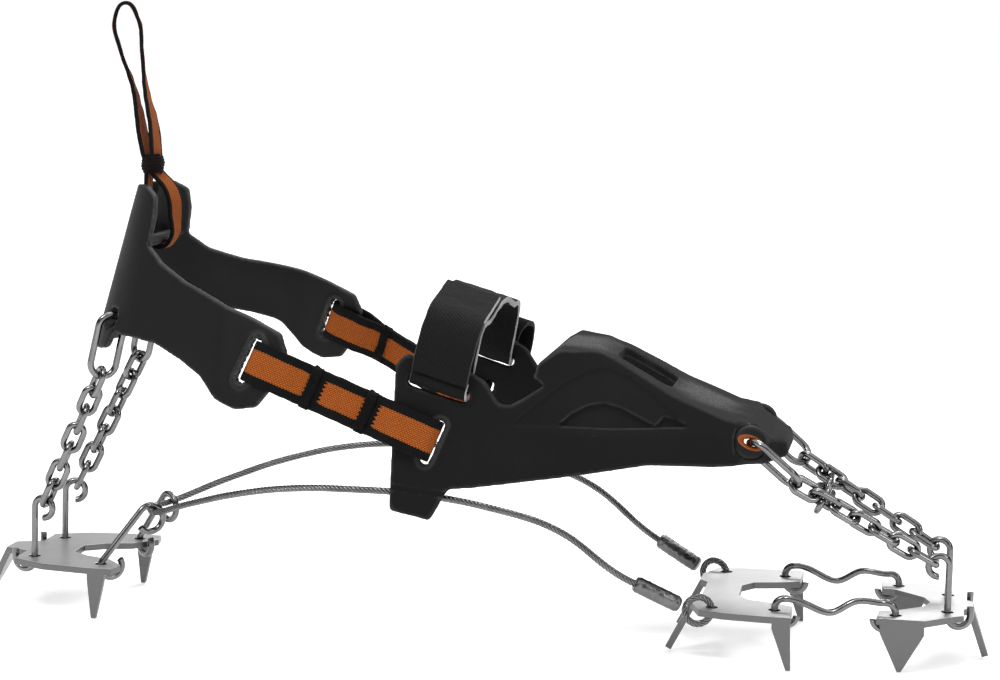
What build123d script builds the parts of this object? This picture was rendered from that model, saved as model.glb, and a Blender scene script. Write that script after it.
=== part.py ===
# One flexible boot crampon, worn under the forefoot and the heel.  Millimetres, +X to the toe,
# +Y to the far side, +Z up, spike tips on Z = 0, middle of the length on X = 0.
import os
from math import atan, cos, degrees, radians, sin
from build123d import *

os.makedirs("parts", exist_ok=True)

# ---- driving sizes ----------------------------------------------------------------------------
plate_t = 2.0                # thickness of the three steel plates
plate_z = 15.0               # height of the middle of the plates
hole_r = 1.9                 # holes in the plates
rim = 5.0                    # from a hole centre to the plate edge its hook wraps
spike_root_w = 5.5           # narrow spikes, width at the bend
spike_tip_w = 1.4

wire_d = 2.1                 # hooks and connectors
curl_r = 3.5                 # curl of a hook round a plate edge, centre line
eye_r = 3.2                  # closed eye of a hook, centre line
link_d = 2.0                 # chain wire
link_in_w = 2.9              # inside width of a chain link
link_slack = 0.3             # inside length of a link beyond the chain pitch
chain_count = 7              # links in each of the four chains
long_d = 2.2                 # wire of the four large oval links
cable_d = 2.0

heel_rear_hole = (-139.0, 15.0)
heel_front_hole = (-115.5, 20.4)
fore_rear_hole = (77.0, 26.0)
fore_front_hole = (95.7, 24.4)
toe_rear_hole = (131.5, 21.0)
toe_front_hole = (146.8, 12.0)
tip_reach = 160.0            # front and rear spike tips

cup_wall = 3.2               # moulded walls of the heel cup
cup_centre_x = -88.0
cup_r = 34.0                 # outside radius of the heel cup at its lobes
cup_base_z = 87.0
cup_lean = 0.255             # inward lean of the wall per millimetre of height
cup_splay = 28.0             # the two arms open outwards, then run level with the straps
cup_knee_x = -70.0
tab_bar = (-103.2, 117.6)     # bar across the hollow of the heel tab
bar_half = 18.0
slot_len = 14.6              # slots for the side straps
slot_w = 3.6
cup_slot = (-61.5, 86.3)

toe_wall = 3.0               # moulded walls of the toe harness
toe_base_z = 60.0
toe_lean = 0.12
toe_slot = (-6.0, 64.5)
tab_slot = (-5.0, 80.4)      # slot of the instep strap
strap_tilt = 16.0            # instep strap leans forward

side_strap_w = 12.7
side_strap_t = 1.6
instep_w = 17.5
instep_t = 1.8
instep_top = 28.5            # crown of the strap above its slots
loop_w = 7.0
loop_t = 1.6

up = Vector(0, 0, 1)


def cup_outline(z, inset):
    # plan of the heel cup at height z: round back and two splayed arms, closed across the front
    r = cup_r - cup_lean * (z - cup_base_z) - inset
    a = radians(90 + cup_splay)
    b = radians(cup_splay)
    tx, ty = cup_centre_x + r * cos(a), r * sin(a)
    ky = ty + (cup_knee_x - tx) * sin(b) / cos(b)
    return (tx, ty), (cup_centre_x - r, 0), (cup_knee_x, ky), (cup_knee_x + 50, ky - 3.4)


def cup_half_width(x, z, inset=0.0):
    # outside half width of the cup along its level arm ends
    knee, end = cup_outline(z, inset)[2:]
    return knee[1] + (end[1] - knee[1]) * (x - knee[0]) / (end[0] - knee[0])


def toe_half_width(x, z, inset=0.0):
    # outside half width of the toe harness at a station along the boot
    stations = [(-40.0, 49.5), (35.0, 40.0), (91.0, 24.5), (97.5, 14.0)]
    lean = toe_lean * (z - toe_base_z) + inset
    for (x0, w0), (x1, w1) in zip(stations, stations[1:]):
        if x <= x1:
            return w0 + (w1 - w0) * (x - x0) / (x1 - x0) - lean
    return stations[-1][1] - lean


def unit(v):
    return v * (1 / v.length)


def across(along, side):
    # the part of side that is square to along
    return unit(side - along * along.dot(side))


# ---- templates: chain link, large link -----------------------------------------------------------
def oval_points(inner_length, inner_width, wire):
    r = (inner_width + wire) / 2
    h = (inner_length + wire) / 2 - r
    return h, r


def chain_plane(start, end, count, index, side, twist):
    along = unit(end - start)
    pitch = (end - start).length / count
    first = across(along, side)
    turn = radians(index * (90 + twist / (count - 1)))
    flat = first * cos(turn) + along.cross(first) * sin(turn)
    return Plane(origin=start + along * (pitch * (index + 0.5)), x_dir=along, z_dir=flat)


def twist_of(start, end, side, out):
    # turn shared out along a chain so that its last link stands square to its upright hook
    along = unit(end - start)
    first = across(along, side)
    level = up.cross(out)
    return -degrees(atan(first.dot(level) / along.cross(first).dot(level)))


def pitch_of(start, end, count):
    return (end - start).length / count


# ---- where the chains run (near side, mirrored for the far side) ---------------------------------
heel_lobe = Vector(-113.0, -19.9, 93.8)
heel_chain_top = Vector(-115.9, -20.3, 76.5)
heel_hole = Vector(heel_rear_hole[0], -heel_rear_hole[1], plate_z)
heel_out = unit(Vector(heel_hole.X - heel_chain_top.X, heel_hole.Y - heel_chain_top.Y, 0))
heel_eye = heel_hole - heel_out * eye_r + up * 16.8
heel_chain_end = heel_eye - unit(heel_eye - heel_chain_top) * (eye_r - wire_d / 2)
toe_eyelet = Vector(86.4, -toe_half_width(86.4, 66.2, toe_wall / 2), 66.2)
toe_chain_top = Vector(100.2, -22.6, 54.6)
toe_hole = Vector(toe_front_hole[0], -toe_front_hole[1], plate_z)
toe_out = unit(Vector(toe_hole.X - toe_chain_top.X, toe_hole.Y - toe_chain_top.Y, 0))
toe_eye = toe_hole - toe_out * eye_r + up * 15.0
toe_chain_end = toe_eye - unit(toe_eye - toe_chain_top) * (eye_r - wire_d / 2)

heel_chain_pitch = pitch_of(heel_chain_top, heel_chain_end, chain_count)
toe_chain_pitch = pitch_of(toe_chain_top, toe_chain_end, chain_count)

with BuildPart() as heel_link:
    h, r = oval_points(heel_chain_pitch + link_slack, link_in_w, link_d)
    with BuildLine() as heel_link_line:
        Line((-h, r), (h, r))
        ThreePointArc((h, r), (h + r, 0), (h, -r))
        Line((h, -r), (-h, -r))
        ThreePointArc((-h, -r), (-h - r, 0), (-h, r))
    with BuildSketch(Plane(origin=(-h, r, 0), z_dir=(1, 0, 0))):
        Circle(link_d / 2)
    sweep(path=heel_link_line.line)

with BuildPart() as toe_link:
    h, r = oval_points(toe_chain_pitch + link_slack, link_in_w, link_d)
    with BuildLine() as toe_link_line:
        Line((-h, r), (h, r))
        ThreePointArc((h, r), (h + r, 0), (h, -r))
        Line((h, -r), (-h, -r))
        ThreePointArc((-h, -r), (-h - r, 0), (-h, r))
    with BuildSketch(Plane(origin=(-h, r, 0), z_dir=(1, 0, 0))):
        Circle(link_d / 2)
    sweep(path=toe_link_line.line)


heel_side = Vector(1, 0.7, 0)                    # square to the large link the chain hangs from
toe_side = Vector(0, -0.8, 0.6)
heel_twist = twist_of(heel_chain_top, heel_chain_end, heel_side, heel_out)
toe_twist = twist_of(toe_chain_top, toe_chain_end, toe_side, toe_out)
with BuildPart() as heel_chain_near:
    for k in range(chain_count):
        add(chain_plane(heel_chain_top, heel_chain_end, chain_count, k, heel_side, heel_twist)
            * heel_link.part)

with BuildPart() as toe_chain_near:
    for k in range(chain_count):
        add(chain_plane(toe_chain_top, toe_chain_end, chain_count, k, toe_side, toe_twist)
            * toe_link.part)

# ---- large oval links: one loops through the cup lobe, one through the toe eyelet ----------------
heel_long_len = 17.4
heel_long_w = 6.0
toe_long_len = 17.0
toe_long_w = 7.2

with BuildPart() as heel_long_link_near:
    along = unit(Vector(-0.20, -0.03, -0.98))
    flat = across(along, heel_side)
    mid = heel_chain_top - along * (heel_long_len / 2)
    h, r = oval_points(heel_long_len, heel_long_w, long_d)
    plane = Plane(origin=mid, x_dir=along, z_dir=along.cross(flat))
    with BuildLine(plane) as heel_long_line:
        Line((-h, r), (h, r))
        ThreePointArc((h, r), (h + r, 0), (h, -r))
        Line((h, -r), (-h, -r))
        ThreePointArc((-h, -r), (-h - r, 0), (-h, r))
    with BuildSketch(Plane(origin=heel_long_line.line @ 0, z_dir=heel_long_line.line % 0)):
        Circle(long_d / 2)
    sweep(path=heel_long_line.line)

with BuildPart() as toe_long_link_near:
    along = unit(toe_chain_top - toe_eyelet)
    flat = across(along, toe_side)
    mid = toe_chain_top - along * (toe_long_len / 2)
    h, r = oval_points(toe_long_len, toe_long_w, long_d)
    plane = Plane(origin=mid, x_dir=along, z_dir=along.cross(flat))
    with BuildLine(plane) as toe_long_line:
        Line((-h, r), (h, r))
        ThreePointArc((h, r), (h + r, 0), (h, -r))
        Line((h, -r), (-h, -r))
        ThreePointArc((-h, -r), (-h - r, 0), (-h, r))
    with BuildSketch(Plane(origin=toe_long_line.line @ 0, z_dir=toe_long_line.line % 0)):
        Circle(long_d / 2)
    sweep(path=toe_long_line.line)

# ---- hooks between the chains and the plates ------------------------------------------------------
# Each lies in an upright plane through its plate hole: curl round the plate rim, shank, closed eye.
with BuildPart() as heel_hook_near:
    eye_h = heel_eye.Z - plate_z
    with BuildLine(Plane(origin=heel_hole, x_dir=heel_out, z_dir=heel_out.cross(up))) as heel_hook_line:
        Line((2 * curl_r, 2.6), (2 * curl_r, 0))
        ThreePointArc((2 * curl_r, 0), (curl_r, -curl_r), (0, 0))
        Line((0, 0), (0, eye_h))
        ThreePointArc((0, eye_h), (-eye_r, eye_h + eye_r), (-2 * eye_r, eye_h))
        ThreePointArc((-2 * eye_r, eye_h), (-eye_r - 1.2, eye_h - eye_r + 0.24), (-eye_r, eye_h - eye_r))
    with BuildSketch(Plane(origin=heel_hook_line.line @ 0, z_dir=heel_hook_line.line % 0)):
        Circle(wire_d / 2)
    sweep(path=heel_hook_line.line)

with BuildPart() as toe_hook_near:
    eye_h = toe_eye.Z - plate_z
    with BuildLine(Plane(origin=toe_hole, x_dir=toe_out, z_dir=toe_out.cross(up))) as toe_hook_line:
        Line((2 * curl_r, 2.6), (2 * curl_r, 0))
        ThreePointArc((2 * curl_r, 0), (curl_r, -curl_r), (0, 0))
        Line((0, 0), (0, eye_h))
        ThreePointArc((0, eye_h), (-eye_r, eye_h + eye_r), (-2 * eye_r, eye_h))
        ThreePointArc((-2 * eye_r, eye_h), (-eye_r - 1.2, eye_h - eye_r + 0.24), (-eye_r, eye_h - eye_r))
    with BuildSketch(Plane(origin=toe_hook_line.line @ 0, z_dir=toe_hook_line.line % 0)):
        Circle(wire_d / 2)
    sweep(path=toe_hook_line.line)

# ---- ring hooks: closed ring round the cable, shank down to the front holes of the heel plate ----
ring_r = 4.2
cable_turn = Vector(-101.2, -9.0, 29.0)          # where the cable runs through the near ring
ring_foot = Vector(heel_front_hole[0], -heel_front_hole[1], plate_z)
ring_out = unit(Vector(cable_turn.X - ring_foot.X, cable_turn.Y - ring_foot.Y, 0))
ring_drop = 8.5
with BuildPart() as ring_hook_near:
    reach = (cable_turn - ring_foot).dot(ring_out)
    rise = cable_turn.Z - plate_z
    c = curl_r
    t = 40.0
    lx, lz = c - c * cos(radians(t)), c * sin(radians(t))
    # the shank leaves the curl square to its radius and runs tangent into the ring
    sx, sz = sin(radians(t)), cos(radians(t))
    length = (reach - lx) * sx + (rise - lz) * sz - 1.0
    ex, ez = lx + length * sx, lz + length * sz
    cx, cz = ex + ring_r * cos(radians(t)), ez - ring_r * sin(radians(t))
    with BuildLine(Plane(origin=ring_foot, x_dir=ring_out, z_dir=ring_out.cross(up))) as ring_hook_line:
        ThreePointArc((2 * c - 0.6, 2.0), (c + c * cos(radians(-75)), c * sin(radians(-75))), (0, 0))
        ThreePointArc((0, 0), (c - c * cos(radians(t / 2)), c * sin(radians(t / 2))), (lx, lz))
        Line((lx, lz), (ex, ez))
        ThreePointArc((ex, ez), (cx + ring_r * sx, cz + ring_r * sz),
                      (cx + ring_r * cos(radians(t)), cz - ring_r * sin(radians(t))))
        ThreePointArc((cx + ring_r * cos(radians(t)), cz - ring_r * sin(radians(t))),
                      (cx, cz - ring_r), (cx - ring_r * 0.766, cz - ring_r * 0.643))
    with BuildSketch(Plane(origin=ring_hook_line.line @ 0, z_dir=ring_hook_line.line % 0)):
        Circle(wire_d / 2)
    sweep(path=ring_hook_line.line)
ring_centre = ring_foot + ring_out * cx + up * cz

# ---- connectors between the forefoot plate and the toe plate --------------------------------------
fore_foot = Vector(fore_front_hole[0], -fore_front_hole[1], plate_z)
toe_foot = Vector(toe_rear_hole[0], -toe_rear_hole[1], plate_z)
span = (toe_foot - fore_foot).length
with BuildPart() as connector_near:
    c = curl_r
    b = 2.8                                      # bend over the hole
    with BuildLine(Plane(origin=fore_foot, x_dir=unit(toe_foot - fore_foot),
                         z_dir=unit(toe_foot - fore_foot).cross(up))) as connector_line:
        ThreePointArc((2 * c - 0.4, -0.6), (c, -c), (0, 0))
        Line((0, 0), (0, 1.8))
        ThreePointArc((0, 1.8), (b - b * 0.7071, 1.8 + b * 0.7071), (b, 1.8 + b))
        Spline((b, 1.8 + b), (span * 0.30, 2.6), (span * 0.47, 1.0), (span * 0.66, 4.6),
               (span - b, 1.8 + b), tangents=[(1, 0), (1, 0)])
        ThreePointArc((span - b, 1.8 + b), (span - b + b * 0.7071, 1.8 + b * 0.7071), (span, 1.8))
        Line((span, 1.8), (span, 0))
        ThreePointArc((span, 0), (span - c, -c), (span - 2 * c + 0.4, -0.6))
    with BuildSketch(Plane(origin=connector_line.line @ 0, z_dir=connector_line.line % 0)):
        Circle(wire_d / 2)
    sweep(path=connector_line.line)

# ---- steel cable with its end eyes and ferrules ---------------------------------------------------
cable_r = cable_d / 2
ring_slack = ring_r - wire_d / 2 - cable_r - 0.15
ring_pass = ring_centre + (ring_out * sin(radians(40)) + up * cos(radians(40))) * ring_slack
eye_in = unit(Vector(-1, -0.33, 0))              # the cable comes down to the plate from behind and outside
cable_eye_r = 4.1
fore_eye_hole = Vector(fore_rear_hole[0], -fore_rear_hole[1], plate_z)
ferrule_d = 4.8
ferrule_len = 15.0
ferrule_rise = 26.0                              # slope of the ferrule in degrees
ferrule_dir = eye_in * cos(radians(ferrule_rise)) + up * sin(radians(ferrule_rise))
ferrule_low = fore_eye_hole + eye_in * (2 * cable_eye_r + 1.1) + up * 1.4
ferrule_high = ferrule_low + ferrule_dir * ferrule_len

with BuildPart(Plane(origin=fore_eye_hole + eye_in * cable_eye_r, z_dir=eye_in.cross(up))) as cable_eye_near:
    Torus(cable_eye_r, cable_r)

with BuildPart() as ferrule_near:
    with BuildSketch(Plane(origin=ferrule_low + ferrule_dir * 0.9, z_dir=ferrule_dir)):
        Circle(ferrule_d / 2)
    extrude(amount=ferrule_len)
    chamfer(ferrule_near.edges(), 0.5)
    with BuildSketch(Plane(origin=ferrule_high + ferrule_dir * 2, z_dir=-ferrule_dir)):
        Circle(cable_r + 0.06)
    extrude(amount=7.0, mode=Mode.SUBTRACT)

guide = Vector(-11.5, -42.6, 48.3)               # the lower tab of the toe harness guides the cable
with BuildPart() as cable:
    start = ferrule_high + ferrule_dir * 0.9 - ferrule_dir * 4.5
    near_run = [start, ferrule_high + ferrule_dir * 6, Vector(31, -38.6, 39.2), Vector(12, -41.2, 45.0),
                guide, Vector(-32, -42.6, 48.6), Vector(-50, -39.6, 46.4),
                Vector(-68, -33.6, 41.4), Vector(-86, -23.8, 34.6), ring_pass]
    far_run = [Vector(p.X, -p.Y, p.Z) for p in reversed(near_run)]
    turn = [Vector(ring_pass.X - 3.4, 0, ring_pass.Z)]
    with BuildLine() as cable_line:
        Spline(*near_run, *turn, *far_run,
               tangents=[ferrule_dir, Vector(-ferrule_dir.X, ferrule_dir.Y, -ferrule_dir.Z)])
    with BuildSketch(Plane(origin=cable_line.line @ 0, z_dir=cable_line.line % 0)):
        Circle(cable_r)
    sweep(path=cable_line.line)

# ---- three steel plates -----------------------------------------------------------------------------
low = plate_z - plate_t / 2


def both_sides(points):
    # outline from its near half, given from the rear to the toe
    return points + [(x, -y) for x, y in reversed(points)]


def spike(root, width, lean):
    # narrow blade: root centre along the bend, then the tip set off by lean
    w, t, top = width / 2, spike_tip_w / 2, low + plate_t
    return [(root - w, top), (root + w, top), (root + w, low - 1.5), (root + lean + t, 0),
            (root + lean - t, 0), (root - w, low - 1.5)]


def slanted(bend_x, tip_x):
    # plane of a blade folded down over the front or rear edge, its tip resting on Z = 0
    fall = unit(Vector(tip_x - bend_x, 0, -low - plate_t))
    side = Vector(0, 1, 0) if tip_x < bend_x else Vector(0, -1, 0)
    plane = Plane(origin=(bend_x, 0, low + plate_t), x_dir=side, z_dir=fall.cross(side))
    return plane, (low + plate_t - plate_t * abs(fall.X)) / -fall.Z


def blade(centre, width, reach):
    w, t = width / 2, spike_tip_w / 2
    return [(centre - w, 0), (centre + w, 0), (centre + w * 0.75, -reach * 0.4),
            (centre + t, -reach), (centre - t, -reach), (centre - w * 0.75, -reach * 0.4)]


heel_half_w = 27.5
with BuildPart() as heel_plate:
    rx, ry = heel_rear_hole
    fx, fy = heel_front_hole
    ox, oy = ring_out.X, ring_out.Y
    edge = (fx + rim * ox, -fy + rim * oy)
    bend = -tip_reach + 8.0
    with BuildSketch(Plane.XY.offset(low)):
        with BuildLine():
            Polyline(*both_sides([(bend, -4.6), (rx - rim, -8.0), (rx - rim, -ry - 5.0),
                                  (rx + 6.0, -heel_half_w + 2), (fx - 4.0, -heel_half_w),
                                  (fx + 5.4, -heel_half_w),
                                  (edge[0] + 4.2 * oy, edge[1] - 4.2 * ox),
                                  (edge[0] - 6.0 * oy, edge[1] + 6.0 * ox),
                                  (fx - 8.0, -9.6), (fx - 13.5, -5.0)]), close=True)
        make_face()
        with Locations((rx, -ry), (rx, ry), (fx, -fy), (fx, fy)):
            Circle(hole_r, mode=Mode.SUBTRACT)
    extrude(amount=plate_t)
    for side in (-1, 1):
        with BuildSketch(Plane.XZ.offset(-side * heel_half_w)):
            with BuildLine():
                Polyline(*spike(fx + 0.4, spike_root_w, -0.6), close=True)
            make_face()
        extrude(amount=side * plate_t)
    plane, reach = slanted(bend, -tip_reach - 0.25)
    with BuildSketch(plane):
        with BuildLine():
            Polyline(*blade(0, 9.2, reach), close=True)
        make_face()
    extrude(amount=plate_t)

fore_half_w = 34.0
with BuildPart() as forefoot_plate:
    rx, ry = fore_rear_hole
    fx, fy = fore_front_hole
    ex, ey = rx + 4.8 * eye_in.X, -ry + 4.8 * eye_in.Y
    bend = rx - 7.0
    with BuildSketch(Plane.XY.offset(low)):
        with BuildLine():
            Polyline(*both_sides([(bend + 2.5, -9.0), (bend, -12.0), (bend, -21.0),
                                  (ex + 3.6 * eye_in.Y, ey - 3.6 * eye_in.X),
                                  (ex - 3.4 * eye_in.Y, ey + 3.4 * eye_in.X),
                                  (rx + 4.0, -fore_half_w + 1.0), (fx - 3.0, -fore_half_w),
                                  (fx + rim + 0.4, -fore_half_w), (fx + rim, -fy + 6.0),
                                  (fx + 1.0, -fy + 8.8), (rx + 10.0, -12.5), (rx + 6.5, -7.0)]),
                     close=True)
        make_face()
        with Locations((rx, -ry), (rx, ry), (fx, -fy), (fx, fy)):
            Circle(hole_r, mode=Mode.SUBTRACT)
    extrude(amount=plate_t)
    for side in (-1, 1):
        with BuildSketch(Plane.XZ.offset(-side * fore_half_w)):
            with BuildLine():
                Polyline(*spike(fx + 2.6, spike_root_w, 2.6), close=True)
            make_face()
        extrude(amount=side * plate_t)
    plane, reach = slanted(bend, bend - 8.0)
    with BuildSketch(plane):
        for centre in (-16.5, 16.5):
            with BuildLine():
                Polyline(*blade(centre, spike_root_w + 1.0, reach), close=True)
            make_face()
    extrude(amount=plate_t)

toe_half_w = 26.5
with BuildPart() as toe_plate:
    rx, ry = toe_rear_hole
    fx, fy = toe_front_hole
    bend = tip_reach - 5.5
    with BuildSketch(Plane.XY.offset(low)):
        with BuildLine():
            Polyline(*both_sides([(rx + 10.0, 0.0), (rx + 8.0, -6.5), (rx - 1.0, -ry + 5.8),
                                  (rx - rim, -ry + 5.0), (rx - rim - 0.5, -toe_half_w),
                                  (rx + 9.0, -toe_half_w), (fx + 1.5, -fy - 6.5), (fx + rim, -fy - 4.0),
                                  (fx + rim, -fy + 5.0), (bend, -4.6)])[1:], close=True)
        make_face()
        with Locations((rx, -ry), (rx, ry), (fx, -fy), (fx, fy)):
            Circle(hole_r, mode=Mode.SUBTRACT)
    extrude(amount=plate_t)
    for side in (-1, 1):
        with BuildSketch(Plane.XZ.offset(-side * toe_half_w)):
            with BuildLine():
                Polyline((rx - 4.3, low + plate_t), (rx + 8.8, low + plate_t), (rx + 8.8, low - 2.5),
                         (rx + 2.4, 0), (rx + 1.2, 0), (rx - 4.3, low - 2.5), close=True)
            make_face()
        extrude(amount=side * plate_t)
    plane, reach = slanted(bend, tip_reach)
    with BuildSketch(plane):
        with BuildLine():
            Polyline(*blade(0, 9.2, reach), close=True)
        make_face()
    extrude(amount=plate_t)

# ---- heel cup ---------------------------------------------------------------------------------------
strap_from = Vector(cup_slot[0], -cup_half_width(*cup_slot, cup_wall / 2), cup_slot[1])
strap_to = Vector(toe_slot[0], -toe_half_width(*toe_slot, toe_wall / 2), toe_slot[1])
strap_run = unit(strap_to - strap_from)
slot_turn = 90 + Vector(1, 0, 0).get_signed_angle(Vector(strap_run.X, strap_run.Z, 0), Vector(0, 0, 1))

with BuildPart() as heel_cup:
    for inset, mode in ((0.0, Mode.ADD), (cup_wall, Mode.SUBTRACT)):
        for z in (62.0, 142.0):
            near, back, knee, arm_end = cup_outline(z, inset)
            with BuildSketch(Plane.XY.offset(z)):
                with BuildLine():
                    ThreePointArc((near[0], -near[1]), back, near)
                    Polyline(near, knee, arm_end, (arm_end[0], -arm_end[1]), (knee[0], -knee[1]),
                             (near[0], -near[1]))
                make_face()
        loft(mode=mode)
    # side view of the cup: lobes, arms with their rounded ends, tall tab
    with BuildSketch(Plane.XZ) as cup_profile:
        with BuildLine():
            Polyline((-130, 88), (-124, 86), (-119.0, 83.5), (-113.5, 84.5), (-111.0, 89.5), (-104, 89.2),
                     (-94.5, 88.2), (-85, 84.6), (-77, 80.6), (-71.5, 75.0), (-65, 72.2), (-58.5, 73.0),
                     (-54.0, 79), (-50.6, 88.5), (-53.0, 94.5), (-62, 98.8), (-74, 103.4), (-86, 107.6),
                     (-95, 112.2), (-100.5, 117.0), (-99.0, 126.0), (-99.6, 132.0), (-103.5, 134.6),
                     (-112.0, 134.6), (-130, 130), close=True)
        make_face()
        fillet(cup_profile.vertices(), 0.9)
    extrude(amount=90, both=True, mode=Mode.INTERSECT)
    # slots for the side straps, both arms at once
    with BuildSketch(Plane.XZ):
        with Locations(Location((cup_slot[0], cup_slot[1], 0), (0, 0, slot_turn))):
            SlotOverall(slot_len, slot_w)
    extrude(amount=90, both=True, mode=Mode.SUBTRACT)
    # scoop in the top of the tab, and the bar across its hollow that holds the pull loop
    with BuildSketch(Plane.YZ.offset(-130)):
        with Locations((0, tab_bar[1] + 15.5)):
            SlotOverall(13.0, 12.0, rotation=90)
    extrude(amount=28, mode=Mode.SUBTRACT)
    with BuildSketch(Plane.XZ):
        with Locations(tab_bar):
            Circle(1.9)
    extrude(amount=bar_half, both=True)
    # holes of the two large links
    for side in (-1, 1):
        with BuildSketch(Plane.YZ.offset(heel_lobe.X - 9)):
            with Locations((side * -heel_lobe.Y, heel_lobe.Z)):
                Circle(3.3)
        extrude(amount=16, mode=Mode.SUBTRACT)

# ---- toe harness ------------------------------------------------------------------------------------
toe_levels = ((36.0, None), (68.0, None), (96.0, 13.5))
grommet_out = 5.0
grommet_in = 3.6
grommet_axis = unit(Vector(0.24, -0.96, 0.12))
roof_t = 3.2
ridge = [(22.0, 84.0), (23.0, 88.0), (28.0, 91.3), (38.0, 91.0), (45.0, 88.5), (63.0, 79.0),
         (79.5, 72.6), (86.0, 72.0), (92.0, 67.0), (102.0, 65.0)]


def toe_plan(z, inset, crown=None):
    # plan of the toe harness, closed across the rear where the side view cuts it off; crown is
    # the half width its sides close in to at that height, in front of the strap frames
    nose = 97.5 - toe_lean * (z - toe_base_z) - inset
    half = [(x, toe_half_width(x, z, inset)) for x in (-40.0, 13.0, 41.0, 91.0)]
    half.append((nose, toe_half_width(97.5, z, inset)))
    if crown:
        half[2:] = [(x, min(w, crown - inset)) for x, w in half[2:]]
    half = [(x, -w) for x, w in half]
    return half + [(x, -y) for x, y in reversed(half)]


with BuildPart() as toe_roof:
    for z, crown in toe_levels:
        with BuildSketch(Plane.XY.offset(z)):
            with BuildLine():
                Polyline(*toe_plan(z, 0.0, crown), close=True)
            make_face()
    loft(ruled=True)
    # thin along the ridge, with a thick rolled edge where it starts over the toes
    with BuildSketch(Plane.XZ):
        with BuildLine():
            Polyline(*ridge, *[(x, z - roof_t) for x, z in reversed(ridge[3:])], (32.0, 82.4), (26.0, 80.6),
                     close=True)
        make_face()
    extrude(amount=70, both=True, mode=Mode.INTERSECT)
    # open window between the band over the toes and the bridge in front of it
    with BuildSketch(Plane.XY.offset(40)) as window:
        with BuildLine():
            Polyline((44, -11.5), (61, -13), (61, 13), (44, 11.5), close=True)
        make_face()
        fillet(window.vertices(), 4)
    extrude(amount=70, mode=Mode.SUBTRACT)

with BuildPart() as toe_harness:
    for inset, mode in ((0.0, Mode.ADD), (toe_wall, Mode.SUBTRACT)):
        for z, crown in toe_levels:
            with BuildSketch(Plane.XY.offset(z)):
                with BuildLine():
                    Polyline(*toe_plan(z, inset, crown), close=True)
                make_face()
        loft(ruled=True, mode=mode)
    # side view: guide tab below, strap frame above, ridge falling to the toe
    with BuildSketch(Plane.XZ) as toe_profile:
        with BuildLine():
            Polyline((-18.0, 44.0), (-6.0, 41.2), (-1.0, 50.6), (5.0, 51.2), (31.0, 55.0), (57.0, 59.2),
                     (76.0, 58.8), (93.0, 60.0), (102.0, 62.0), *reversed(ridge[3:]), (31.5, 87.0), (25.0, 81.6),
                     (19.5, 77.8), (15.5, 75.8), (12.6, 76.4), (8.5, 82.6), (4.0, 85.4), (-15.0, 90.2), (-18.0, 87.2),
                     close=True)
        make_face()
        fillet(toe_profile.vertices(), 0.8)
    extrude(amount=90, both=True, mode=Mode.INTERSECT)
    add(toe_roof.part)
    # slots: side straps, then the instep strap
    with BuildSketch(Plane.XZ):
        with Locations(Location((toe_slot[0], toe_slot[1], 0), (0, 0, slot_turn))):
            SlotOverall(slot_len, slot_w)
        with Locations(Location((tab_slot[0], tab_slot[1], 0), (0, 0, -strap_tilt))):
            SlotOverall(instep_w + 1.8, 3.6)
    extrude(amount=90, both=True, mode=Mode.SUBTRACT)
    # eyelet holes for the grommets
    for side in (-1, 1):
        eyelet = Vector(toe_eyelet.X, side * -toe_eyelet.Y, toe_eyelet.Z)
        axis = Vector(grommet_axis.X, side * -grommet_axis.Y, grommet_axis.Z)
        with BuildSketch(Plane(origin=eyelet - axis * 8, z_dir=axis)):
            Circle(grommet_out + 0.1)
        extrude(amount=16, mode=Mode.SUBTRACT)
    # pads that carry the cable through the lower tabs
    for side in (-1, 1):
        with BuildSketch(Plane.YZ.offset(-18.0)):
            with Locations((side * guide.Y * -1, guide.Z)):
                Rectangle(7.0, 7.0)
        extrude(amount=12.5)
    for side in (-1, 1):
        bore = Plane(origin=(guide.X - 20, side * -guide.Y, guide.Z + 1.0), z_dir=(1, 0, -0.05))
        with BuildSketch(bore):
            Circle(cable_r + 0.45)
        extrude(amount=40, mode=Mode.SUBTRACT)

# ---- grommets in the eyelets ---------------------------------------------------------------------
grommet_t = 3.6
with BuildPart() as grommet_near:
    with BuildSketch(Plane(origin=toe_eyelet + grommet_axis * (grommet_t / 2), z_dir=-grommet_axis)):
        Circle(grommet_out)
        Circle(grommet_in, mode=Mode.SUBTRACT)
    extrude(amount=grommet_t)
    chamfer(grommet_near.edges(), 0.3)

# ---- side straps: each passes through both slots and back, sewn together at two cross bars -------
L = (strap_to - strap_from).length
t = side_strap_t
far_face = Vector(0, 0.19, 0.98)
strap_up = across(strap_run, far_face)
strap_plane = Plane(origin=strap_from, x_dir=strap_run, z_dir=strap_up)
ring = 3.4                                       # half opening round the moulded wall
with BuildPart() as side_strap_near:
    with BuildSketch(strap_plane) as strap_edge:
        with BuildLine():
            e = ring + t
            Polyline((-t / 2, -e), (13.0, -e), (18.0, -t), (L - 20.0, -t), (L - 15.0, -e), (L + t / 2, -e),
                     (L + t / 2, e), (L - 15.0, e), (L - 20.0, t), (18.0, t), (13.0, e), (-t / 2, e),
                     close=True)
        make_face()
        with BuildLine():
            Polyline((t / 2, -ring), (13.2, -ring), (16.2, 0), (13.2, ring), (t / 2, ring), close=True)
        make_face(mode=Mode.SUBTRACT)
        with BuildLine():
            Polyline((L - t / 2, -ring), (L - 15.2, -ring), (L - 18.2, 0), (L - 15.2, ring),
                     (L - t / 2, ring), close=True)
        make_face(mode=Mode.SUBTRACT)
    extrude(amount=side_strap_w / 2, both=True)

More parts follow.
